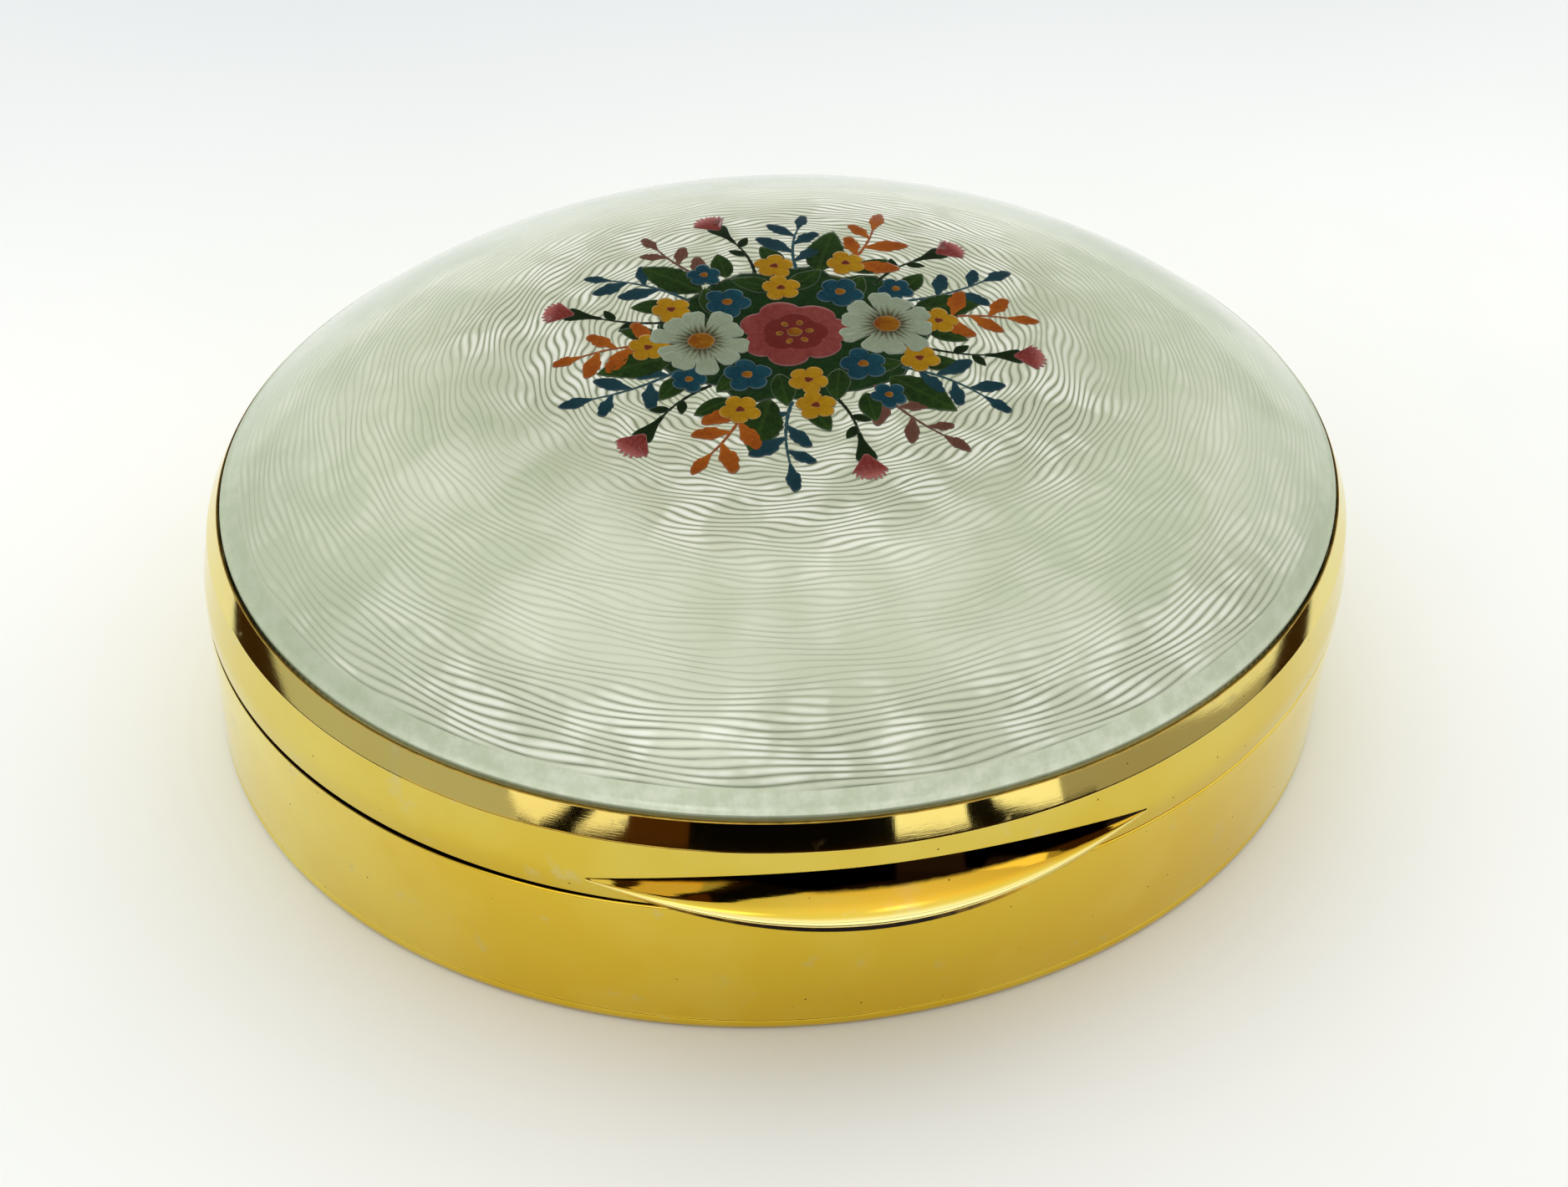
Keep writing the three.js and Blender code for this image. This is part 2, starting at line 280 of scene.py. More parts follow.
def dome_rows(half_edge, depth, rows):
    """(half length, height) rows of the dome from the middle to an edge, lowered by a depth."""
    halves = [half_edge * (k / rows) ** 0.75 for k in range(rows + 1)]
    return [(half, dome_height(half) - depth) for half in halves]


# ---------------------------------------------------------------- node building


def linear(red, green, blue):
    """A colour in linear light, from its 0 to 255 values on screen."""
    shown = [v / 255 for v in (red, green, blue)]
    return [v / 12.92 if v <= 0.04045 else ((v + 0.055) / 1.055) ** 2.4 for v in shown] + [1]


class Number:
    """A number in a node tree. Arithmetic on it adds Math nodes."""

    def __init__(self, tree, socket):
        self.tree = tree
        self.socket = socket

    def math(self, operation, *others):
        node = self.tree.nodes.new("ShaderNodeMath")
        node.operation = operation
        for slot, value in zip(node.inputs, (self, *others)):
            if isinstance(value, Number):
                self.tree.links.new(value.socket, slot)
            else:
                slot.default_value = value
        return Number(self.tree, node.outputs[0])

    def __add__(self, other):
        return self.math("ADD", other)

    def __sub__(self, other):
        return self.math("SUBTRACT", other)

    def __mul__(self, other):
        return self.math("MULTIPLY", other)

    def __truediv__(self, other):
        return self.math("DIVIDE", other)

    def __pow__(self, other):
        return self.math("POWER", other)

    def between(self, low, high, start=0.0, end=1.0):
        """This number's way from low to high, eased, as a number from start to end."""
        node = self.tree.nodes.new("ShaderNodeMapRange")
        node.interpolation_type = "SMOOTHSTEP"
        self.tree.links.new(self.socket, node.inputs["Value"])
        for name, value in (("From Min", low), ("From Max", high), ("To Min", start), ("To Max", end)):
            node.inputs[name].default_value = value
        return Number(self.tree, node.outputs["Result"])


class Nodes:
    """A node tree, with short ways to add and feed its nodes."""

    def __init__(self, tree):
        self.tree = tree

    def add(self, kind, inputs=None, **settings):
        node = self.tree.nodes.new("ShaderNode" + kind)
        for name, value in settings.items():
            setattr(node, name, value)
        for name, value in (inputs or {}).items():
            self.feed(node.inputs[name], value)
        return node

    def feed(self, socket, value):
        if isinstance(value, Number):
            self.tree.links.new(value.socket, socket)
        elif isinstance(value, bpy.types.NodeSocket):
            self.tree.links.new(value, socket)
        else:
            socket.default_value = value

    def axes(self, place):
        """The three parts of a vector, as numbers."""
        return [Number(self.tree, part) for part in self.add("SeparateXYZ", {"Vector": place}).outputs]

    def attribute(self, name):
        return Number(self.tree, self.add("Attribute", attribute_name=name).outputs["Fac"])


class Finish(Nodes):
    """A node material with one Principled surface. place is where a point is, in millimetres."""

    def __init__(self, name, **sockets):
        self.material = bpy.data.materials.new(name)
        self.material.use_nodes = True
        super().__init__(self.material.node_tree)
        self.surface = self.tree.nodes["Principled BSDF"]
        for key, value in sockets.items():
            self.surface.inputs[key.replace("_", " ")].default_value = value
        where = self.add("TexCoord").outputs["Object"]
        self.place = self.add("Mapping", {"Vector": where, "Scale": [1 / MM] * 3}).outputs["Vector"]

    def noise(self, scale, detail=2.0, stretch=(1, 1, 1), roughness=0.5, place=None):
        where = self.place if place is None else place
        spot = self.add("Mapping", {"Vector": where, "Scale": stretch}).outputs["Vector"]
        inputs = {"Vector": spot, "Scale": scale, "Detail": detail, "Roughness": roughness}
        return Number(self.tree, self.add("TexNoise", inputs).outputs["Fac"])

    def specks(self, scale, size):
        """1 in round specks of this size, up to that many per millimetre, and 0 elsewhere."""
        node = self.add("TexVoronoi", {"Vector": self.place, "Scale": scale})
        return Number(self.tree, node.outputs["Distance"]).between(size * 0.6, size, 1, 0)

    def mix(self, share, first, second):
        inputs = {"Factor": share, "A": first, "B": second}
        return self.add("Mix", inputs, data_type="RGBA").outputs["Result"]

    def colour(self, value):
        self.feed(self.surface.inputs["Base Color"], value)

    def roughness(self, value):
        self.feed(self.surface.inputs["Roughness"], value)

    def relief(self, height, depth, strength=1.0):
        """Bump from a height that runs from 0 to 1 over this depth in millimetres."""
        node = self.add("Bump", {"Height": height, "Distance": depth * MM, "Strength": strength})
        self.tree.links.new(node.outputs["Normal"], self.surface.inputs["Normal"])


def gilt(name, pale, deep, polish, brushed=0.0, seam=0.0):
    """Gilt silver: fine wiping scratches, pits and dull patches. Deeper and warmer low on the front, as
    painted shade. seam is the height of a seam shown as a dark line; attributes mark painted shade,
    reflection and highlights."""
    finish = Finish(name, Metallic=1.0)
    across, depth, height = finish.axes(finish.place)
    patches = finish.noise(0.16, 3.0)
    grain = finish.noise(1.4, 4.0)
    wiping = finish.noise(3.0, 3.0, (0.35, 0.35, 7.0))
    brush = finish.noise(5.0, 2.0, (4.0, 0.5, 0.5))
    pits = finish.specks(0.85, 0.055)
    dull = finish.noise(0.45, 5.0, roughness=0.65).between(0.6, 0.72)
    # painted shade: the gilt is deeper low on the front, mixed with random deeper patches
    front = depth.between(-8.0, -22.0)
    low = height.between(12.6, 8.0, 0.6, 1.0)
    patches_and_front_shade = (front * low * 0.85 + patches.between(0.3, 0.75) * 0.3).math("MINIMUM", 1.0)
    tone = finish.mix(patches_and_front_shade, pale, deep)
    # painted shade: above the seam the gilt is a little darker
    tone = finish.mix(height.between(9.1, 9.3) * 0.2, tone, linear(140, 118, 40))
    # painted highlight: the gilt is paler on the bezel slope
    tone = finish.mix(height.between(12.8, 13.0) * 0.3, tone, linear(246, 234, 176))
    tone = finish.mix(dull * 0.3, tone, linear(205, 200, 160))
    if seam:
        gap = (height - seam).math("ABSOLUTE")
        left = across.between(-9.0, -22.0, 0.06, 0.2) * depth.between(8.0, -4.0)
        line = (gap / left).between(0.75, 1.0, 1, 0) * left.between(0.07, 0.12)
        tone = finish.mix(line, tone, linear(34, 16, 4))
    # painted highlight: a point attribute lightens the rounded top edge of the thumb lift
    tone = finish.mix(finish.attribute("painted_highlight") * 0.85, tone, linear(255, 243, 168))
    # painted shade and painted reflection from a point attribute: faint amber where it is low, dark brown
    # where high
    painted_shade_and_reflection = (finish.attribute("painted_shade_and_reflection") * grain.between(0.25, 0.75, 0.92, 1.2)).math("MINIMUM", 1.0)
    tone = finish.mix(painted_shade_and_reflection.between(0.0, 0.1) * 0.6, tone, linear(240, 178, 36))
    tone = finish.mix(painted_shade_and_reflection.between(0.1, 0.95), tone, linear(26, 13, 4))
    finish.colour(finish.mix(pits * 0.75, tone, linear(70, 45, 20)))
    finish.roughness(grain * 0.04 + (dull * 0.12 + (pits * 0.3 + polish)) + wiping * brushed)
    relief = (wiping * 0.5 + brush * 0.3 + grain * 0.2) - pits * 1.5
    finish.relief(relief, 0.010 + 0.02 * brushed, 0.10)
    return finish.material


def steel():
    finish = Finish("steel_pin", Metallic=1.0)
    drawn = finish.noise(6.0, 3.0, (0.15, 3.0, 3.0))
    finish.colour(finish.mix(drawn.between(0.3, 0.7), linear(150, 152, 156), linear(200, 201, 203)))
    finish.roughness(drawn * 0.2 + 0.25)
    finish.relief(drawn, 0.01, 0.4)
    return finish.material


def turning(finish):
    """(share of the way to the edge, depth of the furrows from 0 to 1, angle round the oval)."""
    across, depth, _ = finish.axes(finish.place)
    half_long = HALF_LONG - DOME_INSET
    east = across / half_long
    north = depth / (half_long * DOME_RATIO)
    share = (east * east + north * north) ** 0.5
    angle = east.math("ARCTAN2", north * -1)
    inwards = share * -1 + FIRST_LINE
    lines = (inwards - inwards * inwards * PITCH_GROWTH) / LINE_PITCH
    swing = ((lines / DRIFT_LINES).math("FRACT") * 2 - 1).math("ABSOLUTE") * 2 - 1
    waves = ((angle - swing * WAVE_DRIFT) * WAVES).math("COSINE")
    reach = inwards * WAVE_DEPTH + WAVE_DEPTH
    phase = lines + waves * reach / LINE_PITCH
    furrow = (phase.math("FRACT") * 2 - 1).math("ABSOLUTE")
    engraved = share.between(FIRST_LINE - 0.004, FIRST_LINE, 1, 0)
    return share, furrow**RIDGE_POWER * engraved, angle


def enamel():
    """Translucent enamel over engine turning: the furrows show through a smooth glass surface."""
    finish = Finish("green_enamel", Metallic=0.25, Coat_Weight=1.0, Coat_Roughness=0.035, Coat_IOR=1.5)
    share, furrow, angle = turning(finish)
    clouds = finish.noise(0.085, 2.0)
    sunburst = finish.add(
        "CombineXYZ", {"X": angle.math("SINE") * 1.4, "Y": angle.math("COSINE") * 1.4, "Z": share * 1.6}
    ).outputs["Vector"]
    rays = finish.noise(1.8, 2.0, place=sunburst)
    tint = finish.mix(clouds.between(0.35, 0.65), linear(184, 194, 160), linear(198, 205, 173))
    # painted sheen: lighter rays fanning out from the middle
    tint = finish.mix(rays.between(0.42, 0.62) * 0.6, tint, linear(218, 224, 198))
    _, rear, _ = finish.axes(finish.place)
    # painted reflection: the enamel is whiter towards the rear, where it is seen at a grazing angle
    tint = finish.mix(rear.between(4.0, 20.0) * 0.75, tint, linear(226, 230, 212))
    border = share.between(FIRST_LINE - 0.012, FIRST_LINE + 0.002)
    milk = finish.noise(1.1, 4.0, roughness=0.65).between(0.35, 0.68)
    tint = finish.mix(border, tint, finish.mix(milk, linear(196, 206, 174), linear(216, 223, 198)))
    # painted shade: the enamel is darker green towards its left and right sides
    sides = angle.math("SINE").math("ABSOLUTE").between(0.45, 0.95) * share.between(0.5, 1.0)
    tint = finish.mix(sides * (border * 0.2 + 0.4), tint, linear(146, 162, 124))
    patchy = finish.noise(0.12, 1.0).between(0.35, 0.65, -0.07, 0.07)
    middle = (share + patchy).between(0.42, 0.62, 1, 0)
    tint = finish.mix(middle * 0.45, tint, linear(222, 225, 196))
    front = share.between(0.78, 0.9) * rear.between(-6.0, -18.0)
    broken = finish.noise(0.35, 2.0).between(0.3, 0.6, 0.5, 1.0)
    strength = (middle * 0.85 + front * 0.85 * broken).math("MINIMUM", 0.9) + 0.07
    tint = finish.mix((furrow * strength).math("MINIMUM", 1.0), tint, linear(84, 98, 60))
    crest = (furrow * -1 + 1) ** 5.0
    sheen = finish.noise(0.4, 2.0).between(0.42, 0.62, 0.15, 1.0)
    engraved = share.between(FIRST_LINE - 0.012, FIRST_LINE - 0.002, 1, 0)
    glint = (middle * 0.8 + front * 0.6 + 0.16) * sheen * engraved
    tint = finish.mix(crest * glint, tint, linear(250, 252, 238))
    # painted shade: a dark green line round the enamel's very edge, against the bezel
    rim = share.between(0.9945, 0.9985)
    finish.colour(finish.mix(rim * 0.85, tint, linear(62, 84, 34)))
    finish.roughness(0.34)
    finish.relief(furrow * -1 + 1, 0.03, 0.8)
    return finish.material


def counter_enamel():
    finish = Finish("counter_enamel", Coat_Weight=1.0, Coat_Roughness=0.08)
    flow = finish.noise(0.3, 4.0)
    specks = finish.specks(0.6, 0.08)
    tone = finish.mix(flow.between(0.3, 0.7), linear(150, 160, 130), linear(190, 196, 170))
    finish.colour(finish.mix(specks, tone, linear(90, 95, 75)))
    finish.roughness(flow * 0.2 + 0.25)
    finish.relief(flow, 0.05, 0.5)
    return finish.material


def silver():
    finish = Finish("engraved_silver", Metallic=1.0)
    _, furrow, _ = turning(finish)
    cloud = finish.noise(0.3, 3.0)
    tone = finish.mix(cloud.between(0.3, 0.7), linear(196, 198, 190), linear(226, 226, 220))
    finish.colour(finish.mix(furrow * 0.4, tone, linear(120, 122, 112)))
    finish.roughness(cloud * 0.15 + 0.18)
    finish.relief(furrow * -1 + 1, 0.03, 0.8)
    return finish.material


def paint(name, deep, middle, light, veins=0.0, folds=0.0, partings=0.0, root=None):
    """Painted enamel. Its edge, side and along attributes run across each brush stroke. veins, folds and
    partings are the strength of a leaf's veins, a carnation's folds and the lines between petals; root is the
    colour that runs out from the stroke's near end."""
    finish = Finish(
        name, Roughness=0.5, Specular_IOR_Level=0.0, Coat_Weight=1.0, Coat_Roughness=0.04, Coat_IOR=1.5
    )
    edge = finish.attribute("edge")
    side = finish.attribute("side")
    across = side.math("ABSOLUTE")
    along = finish.attribute("along")
    brush = finish.noise(1.9, 4.0, roughness=0.6)
    bristles = finish.noise(8.0, 2.0)
    _, furrow, _ = turning(finish)
    body = finish.mix(along.between(0.0, 1.0) * 0.6 + brush.between(0.3, 0.7) * 0.4, deep, middle)
    body = finish.mix((edge**3.0) * brush.between(0.35, 0.7, 0, 0.3), body, light)
    body = finish.mix(bristles.between(0.45, 0.8) * 0.25, body, light)
    if veins:
        ribs = ((along * 5.0 + across * -1.4).math("FRACT") * 2 - 1).math("ABSOLUTE").between(0.72, 0.98)
        midrib = across.between(0.0, 0.16, 1, 0)
        body = finish.mix((ribs * 0.4 + midrib).math("MINIMUM", 1.0) * veins, body, light)
    if folds:
        lines = ((side * 3.1 + brush * 0.8).math("FRACT") * 2 - 1).math("ABSOLUTE").between(0.6, 1.0)
        body = finish.mix(lines * along.between(0.95, 0.5) * folds, body, deep)
        body = finish.mix(along.between(0.55, 0.95) * 0.7, body, light)
    if partings:
        lines = across.between(0.55, 0.95) * edge.between(0.15, 0.6)
        body = finish.mix(lines * partings, body, deep)
    if root:
        streaks = ((side * 2.3 + brush * 0.5).math("FRACT") * 2 - 1).math("ABSOLUTE") * 0.22
        body = finish.mix((along + streaks).between(0.62, 0.18), body, root)
    body = finish.mix(furrow * 0.18, body, deep)
    finish.colour(body)
    finish.relief(brush, 0.02, 0.3)
    return finish.material


SEAM_HEIGHT = (wall_highest.z + rim_lowest.z) / 2
outside_gilt = gilt("gilt_silver", linear(242, 226, 122), linear(227, 193, 58), 0.03, seam=SEAM_HEIGHT)
inside_gilt = gilt("gilt_inside", linear(232, 208, 130), linear(214, 182, 84), 0.14, 0.12)
green_enamel = enamel()
back_enamel = counter_enamel()
engraved = silver()
pin_steel = steel()


# ---------------------------------------------------------------- gilt and enamel pieces


def base_pieces():
    floor_top = wall_lowest.z
    r = BOTTOM_EDGE_RADIUS
    bottom = [(0, 0), (HALF_LONG - r - 1.0, 0), (HALF_LONG - r - 0.05, 0)]
    for k in range(7):
        turn = radians(-90 + 15 * k)
        bottom.append((HALF_LONG - r + r * cos(turn), r + r * sin(turn)))
    bottom += [(HALF_LONG, floor_top - 0.01), (HALF_LONG - 0.02, floor_top), (HALF_LONG - 2, floor_top)]
    bottom += [(HALF_LONG / 2, floor_top), (0, floor_top)]
    plate_piece("base_bottom_fine", bottom, 0, "base", outside_gilt)
    wall = [(WALL_THICKNESS, floor_top, 0), (0, floor_top, 0.02)]
    wall += [(0, wall_highest.z, 0.12), (WALL_THICKNESS, wall_highest.z, 0.05)]
    piece = rim_piece("base_wall_fine", rounded(wall), "base", outside_gilt)
    for point in piece.data.vertices:
        if point.co.z > (wall_highest.z - 0.5) * MM:
            point.co.z += TIGHT_SEAM * MM * limited((point.co.x / MM - SEAM_CLOSES) / 8)
    carve(piece, hinge_space())
    outer = HALF_LONG - bezel_highest.x
    inner = outer + BEZEL_THICKNESS
    bezel = [(inner, floor_top, 0.03), (outer, floor_top, 0.03)]
    bezel += [(outer, bezel_highest.z, 0.3), (inner, bezel_highest.z, 0.12)]
    piece = rim_piece("base_bezel_fine", rounded(bezel), "base", inside_gilt)
    carve(piece, bezel_notch())


def hinge_space():
    """The round space for the hinge, along X, as a cutter."""
    half = gutter_highest.x + 0.15
    steps = 96
    start = 180 / steps
    circle = arc(HINGE_SPACE, start, start + 360, steps)[:-1]
    return loose_mesh("hinge_space", *prism(circle, (-half, half)))


def bezel_notch():
    """The box that the inner bezel leaves open round the hinge, as a cutter."""
    low = HINGE_AT.z - GUTTER_OUTER - 1
    points = [(x, y, z) for z in (low, 20) for y in (5, 30) for x in (-NOTCH_HALF, NOTCH_HALF)]
    faces = [(0, 1, 3, 2), (4, 5, 7, 6), (0, 1, 5, 4), (2, 3, 7, 6), (0, 2, 6, 4), (1, 3, 7, 5)]
    return loose_mesh("bezel_notch", points, faces)


def band_inset(height):
    """How far the lid's band lies inside the outer oval at a height."""
    return SHOULDER_INSET * max(height - BAND_TOP, 0) / (SHOULDER_HEIGHT - BAND_TOP)


def rim():
    """Upright band that leans in above, steep bezel slope and inner ledge."""
    low = rim_lowest.z
    top = rim_highest.z
    corners = [(WALL_THICKNESS, low, 0.04), (0, low, 0.16), (0, BAND_TOP, 6.0)]
    corners += [(SHOULDER_INSET, SHOULDER_HEIGHT, 0.5), (SLOPE_TOP_INSET, top, 0.07)]
    corners += [(SEAT_INSET, top, 0.03), (SEAT_INSET, LEDGE_TOP, 0.02), (LEDGE_INSET, LEDGE_TOP, 0.05)]
    corners += [(LEDGE_INSET, LEDGE_BOTTOM, 0.05), (WALL_THICKNESS, LEDGE_BOTTOM, 0.05)]
    section = rounded([*corners, (WALL_THICKNESS, low + 0.5, 0)], 8)

    # painted shade along the bezel's top edge and seat, where the enamel meets it
    def shaded_rows(inset, height):
        return 0.55 * (inset > SLOPE_TOP_INSET - 0.03 and height > top - 0.04)

    piece = rim_piece("lid_rim_fine", section, "lid", outside_gilt, shaded_rows=shaded_rows)
    carve(piece, hinge_space())


def lid_layers():
    """Enamel, engraved plate, counter-enamel, liner and the ring that holds it, from the top down."""
    edge = enamel_highest.x
    outer = dome_rows(edge - 0.12, 0, 84)
    roll = []
    for k in range(1, 6):
        turn = radians(90 - 22 * k)
        roll.append((edge - 0.12 + 0.12 * cos(turn), outer[-1][1] - 0.12 + 0.12 * sin(turn)))
    inner = dome_rows(edge, ENAMEL_THICKNESS, 24)
    section = outer + roll + inner[::-1]
    plate_piece("lid_enamel_fine", section, ENAMEL_INSET, "lid", green_enamel)

    depth = ENAMEL_THICKNESS + LAYER_GAP
    flange = [(edge, plate_lowest.z), (edge - 1.0, plate_lowest.z)]
    under = dome_rows(edge - 1.0, depth + PLATE_THICKNESS, 24)
    section = dome_rows(edge, depth, 60) + flange + under[::-1]
    plate_piece("lid_plate_fine", section, ENAMEL_INSET, "lid", engraved)

    depth += PLATE_THICKNESS + LAYER_GAP
    edge = counter_highest.x
    section = dome_rows(edge, depth, 30) + dome_rows(edge, depth + COUNTER_THICKNESS, 30)[::-1]
    plate_piece("lid_counter_enamel_fine", section, ENAMEL_INSET, "lid", back_enamel)

    depth = dome_height(0) - liner_highest.z
    edge = liner_highest.x
    inside = edge - LINER_THICKNESS
    skirt = [(edge, liner_lowest.z), (inside, liner_lowest.z)]
    section = dome_rows(edge, depth, 40) + skirt + dome_rows(inside, depth + LINER_THICKNESS, 60)[::-1]
    plate_piece("lid_liner_fine", section, HALF_LONG - edge, "lid", inside_gilt)

    outer_inset = HALF_LONG - ring_highest.x
    ring = [(RING_INSET, ring_lowest.z, 0.2), (outer_inset, ring_lowest.z, 0.03)]
    ring += [(outer_inset, ring_highest.z, 0.03), (RING_INSET, ring_highest.z, 0.05)]
    rim_piece("lid_liner_ring_fine", rounded(ring), "lid", inside_gilt)


def along_x(name, section, low, high, body, finish):
    """A piece of constant section along X, with softened edges."""
    points, faces = prism(section, (low, low + 0.05, high - 0.05, high))
    piece = build(name, points, faces, body, finish, [name_of_node(name)])
    bevel = piece.modifiers.new("soft_edges", "BEVEL")
    bevel.width = 0.03 * MM
    bevel.segments = 2
    bevel.limit_method = "ANGLE"
    bevel.angle_limit = radians(40)
    piece.data.set_sharp_from_angle(angle=radians(50))
    return piece


def arc(radius, start, end, steps):
    """Points on a circle round the hinge's axis. 0 degrees points out of the back, 90 up."""
    angles = [radians(start + (end - start) * k / steps) for k in range(steps + 1)]
    return [(radius * cos(angle), radius * sin(angle)) for angle in angles]


def barrel(name, low, high, bore, radius, body, finish):
    """A tube round the hinge's axis, or a rod with domed ends where the bore is 0."""
    middle = (low + high) / 2
    half = (high - low) / 2
    if bore:
        section = rounded(
            [(-half, bore, 0.04), (-half, radius, 0.08), (half, radius, 0.08), (half, bore, 0.04)], 4, 0.02
        )
    else:
        swell = 0.08
        section = [(-half, 0), (-half + 0.01, radius * 0.5), (-half + swell, radius)]
        section += [(half - swell, radius), (half - 0.01, radius * 0.5), (half, 0)]
    steps = 64
    points, rings = [], []
    for along, away in section:
        count = steps if away else 1
        rings.append(list(range(len(points), len(points) + count)))
        for turn in turns(steps)[:count]:
            points.append((middle + along, HINGE_AT.y + away * cos(turn), HINGE_AT.z + away * sin(turn)))
    return build(name, points, band(rings, bool(bore)), body, finish, [name_of_node(name)])


def hinge():
    reach = gutter_highest.x
    for body, start, end in (("base", 185, 343), ("lid", 90, 175)):
        section = arc(GUTTER_OUTER, start, end, 40) + arc(GUTTER_INNER, end, start, 40)
        name = body + "_hinge_gutter_fine"
        along_x(name, section, -reach, reach, body, outside_gilt)
    for name in ("base_knuckle_left", "lid_knuckle_left", "base_knuckle_centre", "lid_knuckle_right",
                 "base_knuckle_right"):
        low, high = span(name)
        radius = (high.z - low.z) / 2
        barrel(name + "_fine", low.x, high.x, KNUCKLE_BORE, radius, name.split("_")[0], outside_gilt)
    radius = (pin_highest.z - pin_lowest.z) / 2
    barrel("hinge_pin_fine", pin_lowest.x, pin_highest.x, 0, radius, "base", pin_steel)


def thumb_lift():
    """A crescent lip on the band, with a scoop above it and a rounded edge."""
    bury = 0.35
    steps = 200
    edge_steps = 10
    scoop_steps = 18
    points, rings, painted_shade_and_reflection, painted_highlight = [], [], [], []
    for k in range(steps + 1):
        x = LIFT_HALF_CHORD * sin(radians(-90 + 180 * k / steps))
        share = 1 - (x / LIFT_HALF_CHORD) ** 2
        rise = 1 - abs(x / LIFT_HALF_CHORD) ** 2.5
        projection = 0.05 + 1.45 * share**1.35
        thickness = 0.12 + 0.42 * share
        edge_top = LIFT_TIP_HEIGHT - 0.6 * rise
        foot = LIFT_TIP_HEIGHT - 0.12 - 0.95 * rise
        scoop_top = LIFT_TIP_HEIGHT + 0.05 + 1.35 * rise
        wall = HALF_SHORT * sqrt(1 - (x / HALF_LONG) ** 2)
        # painted shade: the foot of the lip, under its overhang, is dark
        outline = [(-bury, foot, 1, 0), (0.0, foot, 1, 0)]
        radius = min(thickness * 0.31, projection / 2)
        # painted shade: a dark line along the lip's lower edge, widest just left of the middle
        lip_shade = 0.95 * max(1 - ((x + 2.5) / 9.5) ** 2, 0) ** 0.5
        # painted highlight along the lip's rounded top edge, fading out low in the scoop
        gleam = 0.35 + 0.65 * share**0.7
        edge_bottom = edge_top - thickness
        outline += [(projection - 0.03, edge_bottom, lip_shade, 0), (projection, edge_bottom + 0.03, lip_shade, 0)]
        outline.append((projection, edge_top - radius - 0.04, lip_shade, 0))
        outline.append((projection, edge_top - radius, 0, gleam))
        for j in range(1, edge_steps + 1):
            turn = radians(90 * j / edge_steps)
            out = projection - radius + radius * cos(turn)
            outline.append((out, edge_top - radius * (1 - sin(turn)), 0, gleam))
        start = 0.60 + 0.24 * limited((-3.0 - x) / 3)
        reach = projection - radius
        drop = scoop_top - edge_top
        for j in range(1, scoop_steps + 1):
            climb = j / scoop_steps
            out = reach * ((1 - climb) ** 2 + 2 * climb * (1 - climb) * 0.365)
            height = edge_top + drop * (2 * climb * (1 - climb) * 0.153 + climb**2)
            # painted reflection: faint amber low in the scoop; painted shade: dark from partway up the scoop
            warm = 0.1 * limited((climb - 0.12) / 0.2) * limited((x + 9) / 12, 0.3)
            dark = max(warm, min((climb - start) / 0.12, 1))
            outline.append((out - band_inset(height) * climb, height, dark, gleam * max(1 - climb / 0.12, 0)))
        # painted shade in the scoop's top crease
        outline.append((-bury - band_inset(scoop_top), scoop_top - 0.02, 1, 0))
        rings.append(list(range(len(points), len(points) + len(outline))))
        points += [(x, -(wall + out), height) for out, height, _, _ in outline]
        painted_shade_and_reflection += [float(darkness) for _, _, darkness, _ in outline]
        painted_highlight += [float(shine) for _, _, _, shine in outline]
    faces = band(rings, False) + [tuple(rings[0]), tuple(reversed(rings[-1]))]
    piece = build("thumb_lift_fine", points, faces, "lid", outside_gilt, ["thumb_lift"])
    add_values(piece, "painted_shade_and_reflection", painted_shade_and_reflection)
    add_values(piece, "painted_highlight", painted_highlight)
    piece.data.set_sharp_from_angle(angle=radians(40))


base_pieces()
rim()
lid_layers()
hinge()
thumb_lift()


# ---------------------------------------------------------------- painted bouquet


OVERLAP_STEP = 0.001  # neighbouring strokes of one colour differ by this, so that one lies over the other


def on_dome(x, y, lift):
    return x, y, dome_height(hypot(x, y / DOME_RATIO)) + lift


